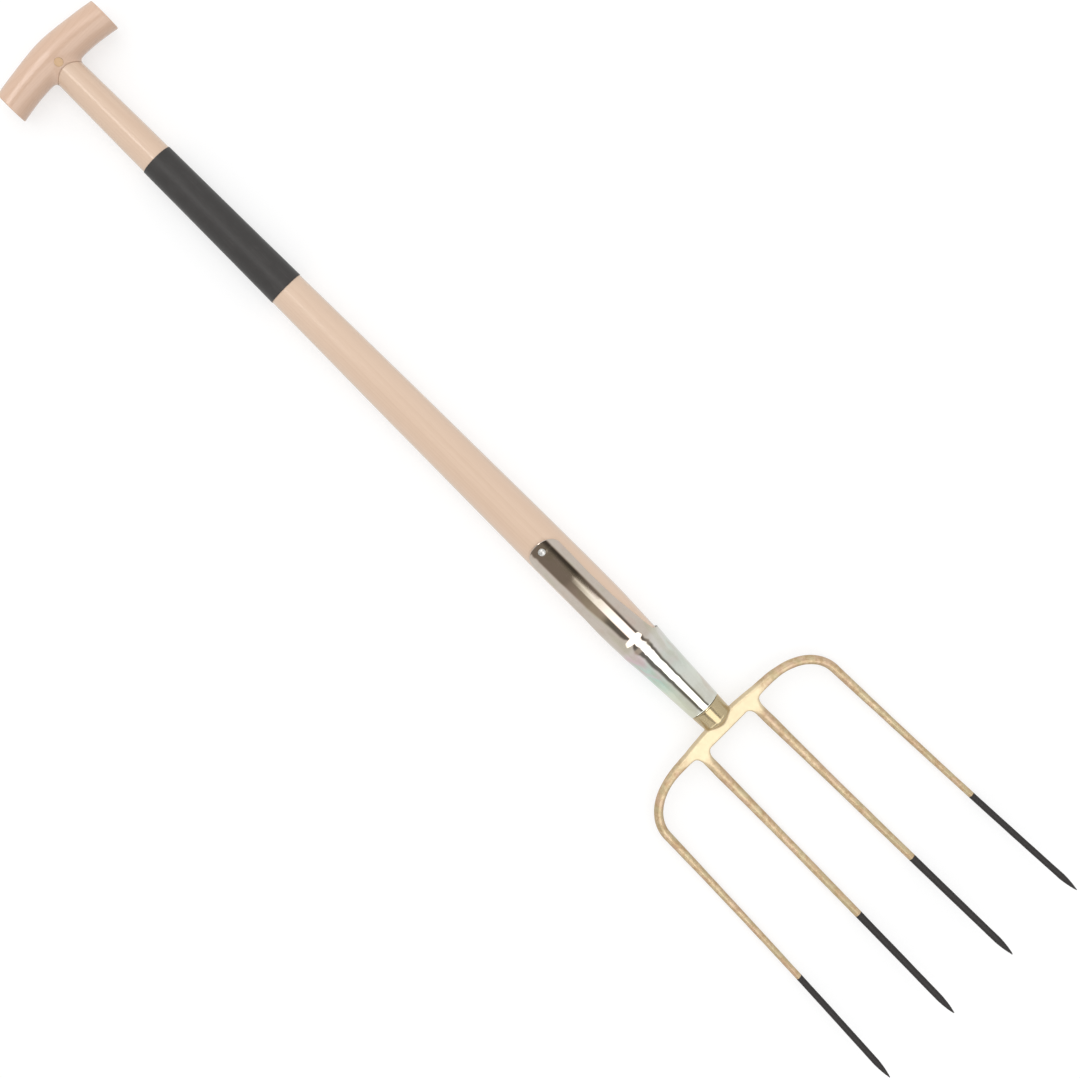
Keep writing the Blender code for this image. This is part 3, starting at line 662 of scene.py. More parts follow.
def zinc_material(name, colours, rough):
    """Bright zinc plate; the cone carries the pink and green film that the bath leaves, and the rim and
    end faces carry painted shade.
    """
    # The first colour is the cone's zinc, painted paler than the tongue's to stand in for brighter
    # reflection
    cone_zinc_painted_paler, rosy, olive = linear(228, 229, 221), linear(216, 188, 176), linear(196, 196, 166)
    # stained is a real stain; the second colour here is painted shade for the rim and end faces
    stained, painted_rim_shade = linear(168, 152, 128), linear(96, 90, 82)
    bath_from, bath_to, bath_strength, patch_strength = 0.722, 0.812, 0.75, 0.30
    bath_tints = [(0.00, (226, 200, 206)), (0.12, (228, 196, 208)), (0.26, (196, 228, 216)),
                  (0.38, (220, 210, 214)), (0.50, (190, 230, 216)), (0.78, (226, 232, 212)),
                  (1.00, (232, 232, 210))]
    tree, shader, place = new_material(name, Metallic=1.0)
    wear = place_group(tree, "surface wear", Place=place, Blotch_size=55.0)
    parts = split(tree, place)
    film = speckle(tree, place, (60, 26, 60), 2.0)
    drift = times_plus(tree, film, 0.056, -0.022)
    down = math_node(tree, "SUBTRACT", plus(tree, drift, CROWN_Y), parts[1])
    cone = ease(tree, parts[1], at(0.730), at(0.722), 1.0, 0.0)
    left = ease(tree, parts[0], -0.0125, -0.0070, 1.0, 0.22)
    bath = add_node(tree, "ValToRGB", None, Fac=ease(tree, down, bath_from, bath_to))
    stops = bath.color_ramp.elements
    inner = [stops.new(spot) for spot, _ in bath_tints[1:-1]]
    for (spot, tint), stop in zip(bath_tints, [stops[0], *inner, stops[-1]]):
        stop.position = spot
        stop.color = (*linear(*tint), 1.0)
    facing = split(tree, add_node(tree, "NewGeometry").outputs["Normal"])
    # Faces that look along the shaft, at the rim and the ends, take painted shade
    end_on = math_node(tree, "ABSOLUTE", facing[1])
    # The cone's zinc is paler and cooler than the tongue's: partly the bath's film, partly painted
    # lighter reflection
    colour = mix_colour(tree, cone, colours.zinc, cone_zinc_painted_paler)
    for factor, tint in (
            (times(tree, cone, left, bath_strength), bath.outputs[0]),
            (ease(tree, film, 0.54, 0.64, 0.0, patch_strength), rosy),
            (ease(tree, film, 0.36, 0.46, patch_strength, 0.0), olive),
            (times(tree, wear["Blotches"], 0.16), stained),
            (ease(tree, end_on, 0.75, 0.95, 0.0, 0.8), painted_rim_shade)):
        colour = mix_colour(tree, factor, colour, tint)
    gloss = times_plus(tree, wear["Blotches"], 0.010, rough)
    gloss = times_plus(tree, wear["Scratches"], 0.010, gloss)
    join_up(tree, shader, colour, gloss, wear["Scratches"], 0.006, 0.00003)


def lacquer_material(colours):
    """Golden lacquer over a forged skin: painted shade darkens it where it is seen edge on, on the round
    tines and on the neck; the tips dipped dark.
    """
    # rosy and olive are random hues; the third colour is painted shade for the neck
    rosy, olive, neck_painted_shade = linear(206, 172, 152), linear(188, 184, 146), linear(184, 167, 130)
    hue_strength, neck_shade_strength, edge_shade_strength, dip_blur = 0.35, 0.80, 0.50, 0.0002
    tree, shader, place = new_material("golden_lacquer_and_dip", Specular_IOR_Level=0.35)
    wear = place_group(tree, "surface wear", Place=place, Blotch_size=250.0)
    parts = split(tree, place)
    aside = math_node(tree, "ABSOLUTE", parts[0])
    face = times(tree, ease(tree, aside, 0.040, 0.056, 1.0, 0.0),
                 ease(tree, parts[1], at(0.858), at(0.844)))
    tine = math_node(tree, "SUBTRACT", 1.0, face)
    # On the neck a darker olive copy of the lacquer is painted shade; the lacquer there is also more
    # metallic and glossier
    neck = times(tree, ease(tree, parts[2], AXIS_Z + 0.0052, AXIS_Z + 0.0064),
                 ease(tree, parts[1], at(0.846), at(0.842)))

    cloud = speckle(tree, place, (190, 120, 190), 4.0, 0.65)
    # Facing weight from the view: painted shade that darkens the lacquer towards its outlines
    edge_shade_facing = add_node(tree, "LayerWeight", None, Blend=0.5).outputs["Facing"]
    # Real blotches and clouds of thick lacquer, to which the painted edge shade is added
    thick_and_edge_shade = plus(tree, times(tree, wear["Blotches"], 0.50), ease(tree, cloud, 0.42, 0.62, 0.0, 0.65))
    thick_and_edge_shade = times(tree, thick_and_edge_shade, times_plus(tree, tine, 0.85, 0.12))
    thick_and_edge_shade = clamped(tree, plus(tree, thick_and_edge_shade, ease(tree, edge_shade_facing, 0.15, 0.80, 0.0, edge_shade_strength)))
    hue = speckle(tree, place, (150, 60, 150), 2.0)
    # The tines take the darker copy of the lacquer: painted shade
    gold = mix_colour(tree, tine, colours.lacquer, colours.lacquer_tine_shade)
    for factor, tint in (
            (thick_and_edge_shade, colours.lacquer_deep_and_edge_shade),
            (times(tree, tine, ease(tree, hue, 0.52, 0.64, 0.0, hue_strength)), rosy),
            (times(tree, tine, ease(tree, hue, 0.36, 0.48, hue_strength, 0.0)), olive),
            (times(tree, neck, neck_shade_strength), neck_painted_shade)):
        gold = mix_colour(tree, factor, gold, tint)

    dip_y = times_plus(tree, parts[0], DIP_SLANT, at(DIP_DOWN))
    ragged = times_plus(tree, wear["Grit"], 0.0012, -0.0006)
    depth = math_node(tree, "SUBTRACT", plus(tree, dip_y, ragged), parts[1])
    dipped = ease(tree, depth, -dip_blur, dip_blur)
    worn = ease(tree, wear["Grit"], 0.62, 0.74, 0.0, 0.35)
    dip = mix_colour(tree, worn, colours.dip, stronger(colours.dip, 2.2))
    metallic = times(tree, ease(tree, dipped, 0.0, 1.0, 1.0, 0.0),
                     times_plus(tree, neck, 0.40, 0.38))
    feed(tree, shader.inputs["Metallic"], metallic)
    gloss = times_plus(tree, thick_and_edge_shade, 0.12, 0.30)
    gloss = times_plus(tree, neck, -0.15, gloss)
    gloss = times_plus(tree, dipped, 0.20, gloss)
    grit = times(tree, wear["Grit"], times_plus(tree, neck, -0.45, 0.5))
    join_up(tree, shader, mix_colour(tree, dipped, gold, dip), gloss,
            times_plus(tree, dipped, 0.8, grit), 0.35, 0.00012)


# Head geometry

def dish(drop):
    """How far the tines run above the shaft's axis, and how steeply they rise."""
    run = drop - DISH_R * math.sin(DISH_PITCH)
    fall = math.sqrt(DISH_R ** 2 - run ** 2)
    return DISH_R * math.cos(DISH_PITCH) - fall, run / fall


def section(x, drop, heading, width, depth, square):
    """Ring across a bar that lies in the dished face; heading 0 runs sideways."""
    rise, slope = dish(drop)
    rise -= TIP_LOWER * smooth((drop - TIP_LOWER_FROM) / TIP_LOWER_OVER)
    centre = Vector((x, at(BAR_TOP_DOWN + drop), AXIS_Z + rise))
    along = Vector((0, -1, slope)).normalized()
    facing = Vector((0, slope, 1)).normalized()
    broad = math.cos(heading) * along - math.sin(heading) * Vector((1, 0, 0))
    ring = []
    for i in range(SECTION_SIDES):
        angle = 2 * math.pi * (i + 0.5) / SECTION_SIDES
        across, deep = (math.copysign(abs(value) ** (2 / square), value)
                        for value in (math.cos(angle), math.sin(angle)))
        ring.append(centre + broad * across * width / 2 + facing * deep * depth / 2)
    return ring


def tine_rings(side, root_x, root_drop, splay, widths):
    """Sections down a tine from its root: its tapering length, then its ground point."""
    steps = 30
    drops = [root_drop + (STRAIGHT_END - root_drop) * i / steps for i in range(1, steps + 1)]
    drops += [STRAIGHT_END + POINT_LENGTH * share for share in POINT_SHARES]
    rings = []
    for drop in drops:
        share = min(max((drop - STRAIGHT_END) / POINT_LENGTH, 0.0), 1.0)
        full = 1 - share + POINT_BELLY * math.sin(math.pi * share) + POINT_BLUNT * share
        x = root_x + (drop - root_drop) * math.tan(splay)
        rings.append(section(side * x, drop, side * (math.pi / 2 - splay),
                             between(drop, widths) * full,
                             between(drop, TINE_DEPTHS) * full, TINE_OVAL))
    return rings


def half_beam(side):
    """Rings from the crossbar's middle out to the point of one outer tine."""
    rings = []
    for x, square in BAR_SQUARES:
        height = between(x, BAR_HEIGHTS)
        drop = between(x, BAR_TOPS) + height / 2
        rings.append(section(side * x, drop, 0.0, height, BAR_DEPTH, square))
    x, drop, steps, fine, square_until = SHOULDER_START, ARM_DROP, 28, 6, 10
    for i in range(steps + 1):
        heading = (math.pi / 2 - OUTER_SPLAY) * (i / steps) ** SHOULDER_EASE
        square = TINE_OVAL + (ARM_SQUARE - TINE_OVAL) * (1 - smooth(i / square_until))
        rings.append(section(side * x, drop, side * heading, between(x, BAR_HEIGHTS),
                             between(drop, TINE_DEPTHS), square))
        for j in range(fine if i < steps else 0):
            share = (i + (j + 0.5) / fine) / steps
            turn = (math.pi / 2 - OUTER_SPLAY) * share ** SHOULDER_EASE
            x += SHOULDER_LENGTH / steps / fine * math.cos(turn)
            drop += SHOULDER_LENGTH / steps / fine * math.sin(turn)
    return rings + tine_rings(side, x, drop, OUTER_SPLAY, OUTER_WIDTHS)


def root_fillet(past):
    """How far the hollow fillet of an inner tine stands out, so far past its edge."""
    rest = 1 - min(max(past / FILLET_LENGTH, 0.0), 1.0)
    return FILLET_WIDTH * (1 - math.sqrt(1 - rest ** 2))


def inner_rings(side):
    """Rings from inside the crossbar down to the point of one inner tine."""
    edge = BAR_HEIGHT - ROOT_OVERLAP
    arm_edge = ARM_TOP + ARM_HEIGHT - ROOT_OVERLAP
    few, many, crowding = 4, 14, 1.7
    drops = [edge * ROOT_START, arm_edge - 0.001]
    drops += [arm_edge + (edge - arm_edge) * i / few for i in range(few)]
    drops += [edge + FILLET_LENGTH * (i / many) ** crowding for i in range(many + 1)]
    drops += [edge + FILLET_LENGTH + (MELT_LENGTH - FILLET_LENGTH) * i / few
              for i in range(1, few + 1)]
    rings = []
    for drop in drops:
        inside, outside = root_fillet(drop - edge), root_fillet(drop - arm_edge)
        melt = smooth((drop - edge) / MELT_LENGTH)
        x = INNER_ROOT_X + (drop - edge) * math.tan(INNER_SPLAY) + (outside - inside) / 2
        rings.append(section(side * x, drop, side * (math.pi / 2 - INNER_SPLAY),
                             between(drop, INNER_WIDTHS) + inside + outside,
                             between(drop, TINE_DEPTHS) - ROOT_SINK,
                             ROOT_SQUARE + (TINE_OVAL - ROOT_SQUARE) * math.sqrt(melt)))
    return rings + tine_rings(side, x, drop, INNER_SPLAY, INNER_WIDTHS)


# Operators

class FORK_OT_materials(bpy.types.Operator):
    """Make the node groups and the materials of every finish"""

    bl_idname = "fork.materials"
    bl_label = "Finishes"

    def execute(self, context):
        colours, sizes = context.scene.fork_colours, context.scene.fork_sizes
        wood_figure()
        surface_wear()
        varnished_wood("varnished_ash", colours.ash_pale, colours.ash_deep,
                       sizes.ring_spacing, 0.16, 0.20)
        varnished_wood("varnished_beech", colours.beech_pale, colours.beech_deep,
                       sizes.ring_spacing * 0.8, 0.14, 0.15, turn=(0, 0, math.pi / 2),
                       shift=(0.4, 0.1, 0.02))
        peg_material(colours)
        film_material(colours)
        zinc_material("bright_zinc", colours, 0.035)
        zinc_material("nail_zinc", colours, 0.22)
        lacquer_material(colours)
        return {"FINISHED"}


class FORK_OT_shaft(bpy.types.Operator):
    """Smooth and varnish the turned ash shaft"""

    bl_idname = "fork.shaft"
    bl_label = "Shaft"

    def execute(self, context):
        shaft = copy_node("ash_shaft", "shaft")
        soften(shaft, 30)
        finish_piece(shaft, "varnished_ash", "shaft_wood", "shaft")
        return {"FINISHED"}


class FORK_OT_grip(bpy.types.Operator):
    """Blend the bowed bar and the hub of the T-grip, cope it and fit its dowel"""

    bl_idname = "fork.grip"
    bl_label = "T-grip and dowel"

    def middle(self, x):
        """Middle of the bowed bar, so far out from the shaft."""
        drop = BAR_MID_R + BAR_BOW_R - math.sqrt(BAR_BOW_R ** 2 - x ** 2)
        return x, at(drop), AXIS_Z

    def bar(self):
        """A bowed bar, a little longer than the grip, thinning towards its ends."""
        reach, steps, sides = GRIP_HALF + BAR_SPARE, 40, 64

        def thickness(x):
            return BAR_MID_R + (BAR_END_R - BAR_MID_R) * smooth(abs(x) / BAR_SWELL)

        place, radius = self.middle(-reach), thickness(-reach)
        bar = add_ring("beech_grip", radius, sides, place, (0, math.pi / 2, 0))
        for i in range(1, steps + 1):
            x = -reach + 2 * reach * i / steps
            centre, ratio = self.middle(x), thickness(x) / radius
            step = [new - old for new, old in zip(centre, place)]
            pull_ring(step, (1, ratio, ratio), centre)
            place, radius = centre, thickness(x)
        outward_faces()
        return bar

    def blend(self, grip, voxel):
        """Remeshes bar and hub as one and smooths the corner between them."""
        add_modifier(grip, "REMESH", mode="VOXEL", voxel_size=voxel)
        group = grip.vertex_groups.new(name="blend")
        for vertex in grip.data.vertices:
            off = max(abs(vertex.co.x) - BLEND_HALF, 0.0) / BLEND_FADE
            group.add([vertex.index], max(1 - smooth(off), BLEND_LEAST), "REPLACE")
        add_modifier(grip, "SMOOTH", factor=0.5, iterations=BLEND_PASSES, vertex_group="blend")
        grip.vertex_groups.clear()

    def trim_ends(self, grip):
        """Cuts both ends flat and rounds their edges."""
        edge = GRIP_HALF - END_ROUND
        edit_all(grip)
        for side in (-1, 1):
            bpy.ops.mesh.select_all(action="SELECT")
            bpy.ops.mesh.bisect(plane_co=(side * edge, 0, 0), plane_no=(side, 0, 0),
                                use_fill=True, clear_outer=True)
            reach, radius = 0.0, BAR_END_R
            for degrees in (30, 60, 90):
                rise = END_ROUND * math.sin(math.radians(degrees))
                rounded = BAR_END_R - END_ROUND * (1 - math.cos(math.radians(degrees)))
                ratio = rounded / radius
                pull_ring((side * (rise - reach), 0, 0), (1, ratio, ratio),
                          self.middle(side * edge))
                reach, radius = rise, rounded
        bpy.ops.object.mode_set(mode="OBJECT")

    def rod(self, name, radius):
        deselect()
        bpy.ops.mesh.primitive_cylinder_add(vertices=48, radius=radius, depth=DOWEL_BLANK,
                                            location=(0, at(DOWEL_DOWN), AXIS_Z + DOWEL_MID))
        piece = named(name)
        bake_place()
        return piece

    def cope(self, grip):
        """Cuts the saddle-shaped seat and the socket for the shaft."""
        deselect()
        bpy.ops.mesh.primitive_cube_add(
            size=1, location=(0, at(SEAM_AXIS_DOWN + SEAM_BLOCK[1] / 2), AXIS_Z),
            scale=SEAM_BLOCK)
        below = named("below_seam")
        bake_place()
        deselect()
        bpy.ops.mesh.primitive_cylinder_add(
            vertices=128, radius=SEAM_R, depth=SEAM_CUTTER_LENGTH,
            location=(0, at(SEAM_AXIS_DOWN), AXIS_Z), rotation=(0, math.pi / 2, 0))
        saddle = named("saddle")
        bake_place()
        cut_with(below, saddle)
        cut_with(grip, below)
        cut_with(grip, turn_on_shaft("socket", SOCKET_OUTLINE, 48))

    def execute(self, context):
        grip = self.bar()
        cut_with(grip, turn_on_shaft("hub", HUB_OUTLINE, 64), "UNION")
        self.blend(grip, context.scene.fork_sizes.voxel)
        self.trim_ends(grip)
        peg = self.rod("dowel_peg", DOWEL_R)
        cut_with(peg, grip, "INTERSECT", keep_tool=True)
        cut_with(grip, self.rod("peg_hole", DOWEL_R + SEAT_GAP / 2))
        self.cope(grip)
        soften(grip, 40)
        soften(peg, 40)
        finish_piece(grip, "varnished_beech", "grip_wood", "t_grip")
        finish_piece(peg, "peg_end_grain", "dowel_wood", "grip_dowel")
        return {"FINISHED"}


class FORK_OT_band(bpy.types.Operator):
    """Wrap the dark film round the shaft, with its lap at the back"""

    bl_idname = "fork.band"
    bl_label = "Label band"

    def execute(self, context):
        film, steps = context.scene.fork_sizes.film, 96
        deselect()
        bpy.ops.mesh.primitive_plane_add(size=1, location=(0, 0, 0))
        band = named("dark_band")
        bpy.ops.object.mode_set(mode="EDIT")
        bpy.ops.mesh.subdivide(number_cuts=steps - 1)
        shape = bmesh.from_edit_mesh(band.data)
        for vertex in shape.verts:
            y = LABEL_LOW_Y + (LABEL_HIGH_Y - LABEL_LOW_Y) * (vertex.co.y + 0.5)
            share = vertex.co.x + 0.5
            angle = (2 * math.pi + LAP) * (share - 0.5) - LAP / 2
            lift = film * smooth((share - LAP_STARTS) / LAP_CLIMB) * LAP_CLEAR
            radius = between(CROWN_Y - y, WOOD) + SEAT_GAP + film / 2 + lift
            vertex.co = Vector((radius * math.sin(angle), y, AXIS_Z + radius * math.cos(angle)))
        bmesh.update_edit_mesh(band.data)
        bpy.ops.object.mode_set(mode="OBJECT")
        add_modifier(band, "SOLIDIFY", thickness=film, offset=0.0)
        soften(band, 40)
        finish_piece(band, "dark_film", "label_film", "label_band")
        return {"FINISHED"}


class FORK_OT_ferrule(bpy.types.Operator):
    """Roll the strapped ferrule from one sheet and drive its nail"""

    bl_idname = "fork.ferrule"
    bl_label = "Ferrule and nail"

    sides = 80

    def wood(self, down):
        """The wood's radius, run on straight over the last of the cone."""
        past = down - CONE_STRAIGHT
        if past <= 0:
            return between(down, WOOD)
        return 2 * between(CONE_STRAIGHT, WOOD) - between(CONE_STRAIGHT - past, WOOD)

    def radius(self, down, angle=math.pi):
        """The sheet's outer radius, with its rim flared at the back and pinched at the front."""
        flare = 0.0
        if down >= RIM_DOWN:
            flare = RIM_FLARE * (1 - smooth((down - RIM_DOWN) / RIM_FLARE_LENGTH))
            flare *= smooth(abs(angle) / RIM_FLARE_WIDENS - 0.5)
        pinch = smooth((down - PINCH_DOWN) / PINCH_FALL + 0.5)
        pinch *= 1 - smooth((down - PINCH_DOWN - PINCH_FALL / 2) / PINCH_BACK)
        pinch *= PINCH_DEPTH * (1 - smooth((abs(angle) - PINCH_HALF) / PINCH_FADE))
        return self.wood(down) + (SEAT_GAP + SHEET + flare) - pinch

    def place(self, angle, down):
        radius = self.radius(down, angle)
        turned = angle + TURN
        return Vector((radius * math.sin(turned), at(down), AXIS_Z + radius * math.cos(turned)))

    def swing(self, co):
        """Angle of a point round the shaft, from the middle of the tongue."""
        angle = math.atan2(co.x, co.z - AXIS_Z) - TURN
        return (angle + math.pi) % (2 * math.pi) - math.pi

    def set_row(self, piece, places):
        """Moves the selected row to new places, taken in the order of angle."""
        shape = bmesh.from_edit_mesh(piece.data)
        chosen = sorted((vertex for vertex in shape.verts if vertex.select),
                        key=lambda vertex: self.swing(vertex.co))
        for vertex, place in zip(chosen, places):
            vertex.co = place
        bmesh.update_edit_mesh(piece.data)

    def pull_row(self, piece, places):
        bpy.ops.mesh.extrude_region_move()
        self.set_row(piece, places)

    def cone(self):
        """The closed cone, row by row from its small end up to the rim."""
        piece = add_ring("zinc_ferrule", 0.016, self.sides, (0, at(CONE_END), AXIS_Z),
                         (math.pi / 2, 0, 0), fill="NOTHING")
        around = [2 * math.pi / self.sides * (i - self.sides // 2) for i in range(self.sides)]
        self.set_row(piece, [self.place(angle, CONE_END) for angle in around])
        steps, held = 22, CONE_END - EDGE_HOLD
        for i in range(steps + 1):
            down = held + (RIM_DOWN - held) * (1 - (1 - i / steps) ** CONE_CROWDING)
            self.pull_row(piece, [self.place(angle, down) for angle in around])
        return piece

    def tongue(self, piece):
        """The tongue, row by row from the front of the rim up to its round end."""
        half = TONGUE_HALF_WIDTHS[-1][1] / self.radius(RIM_DOWN) + 0.001
        shape = bmesh.from_edit_mesh(piece.data)
        bpy.ops.mesh.select_all(action="DESELECT")
        bpy.ops.mesh.select_mode(type="VERT")
        for vertex in shape.verts:
            on_rim = abs(vertex.co.y - at(RIM_DOWN)) < 0.00001
            vertex.select = on_rim and abs(self.swing(vertex.co)) <= half
        shape.select_flush(True)
        bmesh.update_edit_mesh(piece.data)
        wing, rows = 22, 44
        for i in range(1, rows + 1):
            share = (1 - i / rows) ** TONGUE_CROWDING
            places = []
            for j in range(-wing, wing + 1):
                rounded = math.sin(math.pi / 2 * j / wing)
                start = TONGUE_TOP + TONGUE_ROUND * (1 - math.cos(math.pi / 2 * j / wing))
                down = start + (RIM_DOWN - start) * share
                half_angle = between(down, TONGUE_HALF_WIDTHS) / self.radius(down)
                side = rounded + (j / wing - rounded) * smooth(share)
                places.append(self.place(side * half_angle, down))
            self.pull_row(piece, places)

    def face_outwards(self, piece):
        bpy.ops.mesh.select_all(action="SELECT")
        bpy.ops.mesh.normals_make_consistent(inside=False)
        bpy.ops.object.mode_set(mode="OBJECT")
        first = piece.data.polygons[0]
        outward = first.center - Vector((0, 0, AXIS_Z))
        if first.normal.x * outward.x + first.normal.z * outward.z < 0:
            edit_all(piece)
            bpy.ops.mesh.flip_normals()
            bpy.ops.object.mode_set(mode="OBJECT")

    def nail(self):
        """A domed head that rests on the tongue, and its shank in the wood."""
        seat, rings = SHEET + SEAT_GAP, 8
        outline = [(seat + NAIL_HEAD_RISE, NAIL_START_R)]
        for i in range(1, rings + 1):
            angle = math.pi / 2 * i / rings
            outline.append((seat + NAIL_HEAD_RISE * math.cos(angle), NAIL_HEAD_R * math.sin(angle)))
        outline += [(seat + height, radius) for height, radius in NAIL_SHANK]
        nail = add_ring("zinc_nail", NAIL_START_R, 32, (0, 0, 0), (0, 0, 0))
        bpy.ops.transform.translate(value=(0, 0, outline[0][0]))
        for (height, radius), (next_height, next_radius) in zip(outline, outline[1:]):
            ratio = next_radius / radius
            pull_ring((0, 0, next_height - height), (ratio, ratio, 1), (0, 0, next_height))
        outward_faces()
        inner = self.radius(NAIL_DOWN) - SHEET
        nail.matrix_world = (Matrix.Translation((0, at(NAIL_DOWN), AXIS_Z))
                             @ Matrix.Rotation(TURN, 4, "Y") @ Matrix.Translation((0, 0, inner)))
        make_active(nail)
        bake_place()
        return nail

    def execute(self, context):
        ferrule = self.cone()
        self.tongue(ferrule)
        self.face_outwards(ferrule)
        add_modifier(ferrule, "SOLIDIFY", thickness=SHEET, offset=-1.0, use_even_offset=True)
        add_modifier(ferrule, "BEVEL", width=SHEET_EDGE, segments=2, limit_method="ANGLE",
                     angle_limit=math.radians(55))
        nail = self.nail()
        soften(ferrule, 40)
        soften(nail, 40)
        finish_piece(ferrule, "bright_zinc", "ferrule_zinc", "strap_ferrule")
        finish_piece(nail, "nail_zinc", "nail_zinc", "strap_nail")
        return {"FINISHED"}


class FORK_OT_head(bpy.types.Operator):
    """Loft the crossbar, shoulders and tines of the forging and join its neck and tang to them"""

    bl_idname = "fork.head"
    bl_label = "Fork head"

    def neck(self, top):
        """The round neck and its pointed chin on the crossbar."""
        chin = BAR_TOP_DOWN + CHIN_LENGTH
        return turn_on_shaft("neck", [
            (top, NECK_TOP_R - NECK_CHAMFER), (top + NECK_CHAMFER, NECK_TOP_R),
            (BAR_TOP_DOWN - NECK_EDGE, NECK_FOOT_R),
            (BAR_TOP_DOWN + NECK_EDGE, NECK_FOOT_R - NECK_EDGE_IN),
            (chin, CHIN_R), (chin + CHIN_R / 2, CHIN_POINT_R)], 96)

    def tang(self, top):
        """The square tang, whose corners are turned to stand straight."""
        deselect()
        bpy.ops.mesh.primitive_cone_add(
            vertices=4, radius1=TANG_ROOT * math.sqrt(2), radius2=TANG_POINT * math.sqrt(2),
            depth=TANG_LENGTH, location=(0, at(top - TANG_MID), AXIS_Z),
            rotation=(-math.pi / 2, 0, 0))
        tang = named("tang")
        bake_place()
        edit_all(tang)
        bpy.ops.transform.rotate(value=math.pi / 4, orient_axis="Y",
                                 center_override=(0, 0, AXIS_Z))
        bpy.ops.object.mode_set(mode="OBJECT")
        return tang

    def hammer(self, head, amount):
        """Slow waves on the skin, as a hammer and rolls leave them."""
        edit_all(head)
        shape = bmesh.from_edit_mesh(head.data)
        shape.normal_update()
        for vertex in shape.verts:
            where = Vector([value * lumps for value, lumps in zip(vertex.co, HAMMER_LUMPS)])
            vertex.co += vertex.normal * noise.noise(where) * amount
        bmesh.update_edit_mesh(head.data)
        bpy.ops.object.mode_set(mode="OBJECT")

    def execute(self, context):
        sizes = context.scene.fork_sizes
        neck_top = CONE_END + SEAT_GAP
        head = loft("forged_head", list(reversed(half_beam(-1))) + half_beam(1))
        for side in (-1, 1):
            cut_with(head, loft("inner_tine", inner_rings(side)), "UNION")
        cut_with(head, self.neck(neck_top), "UNION")
        cut_with(head, self.tang(neck_top), "UNION")
        add_modifier(head, "REMESH", mode="VOXEL", voxel_size=sizes.forging_voxel)
        add_modifier(head, "SMOOTH", factor=0.5, iterations=3)
        self.hammer(head, sizes.forging_wave)
        soften(head, 60)
        finish_piece(head, "golden_lacquer_and_dip", "head_lacquer", "fork_head")
        return {"FINISHED"}


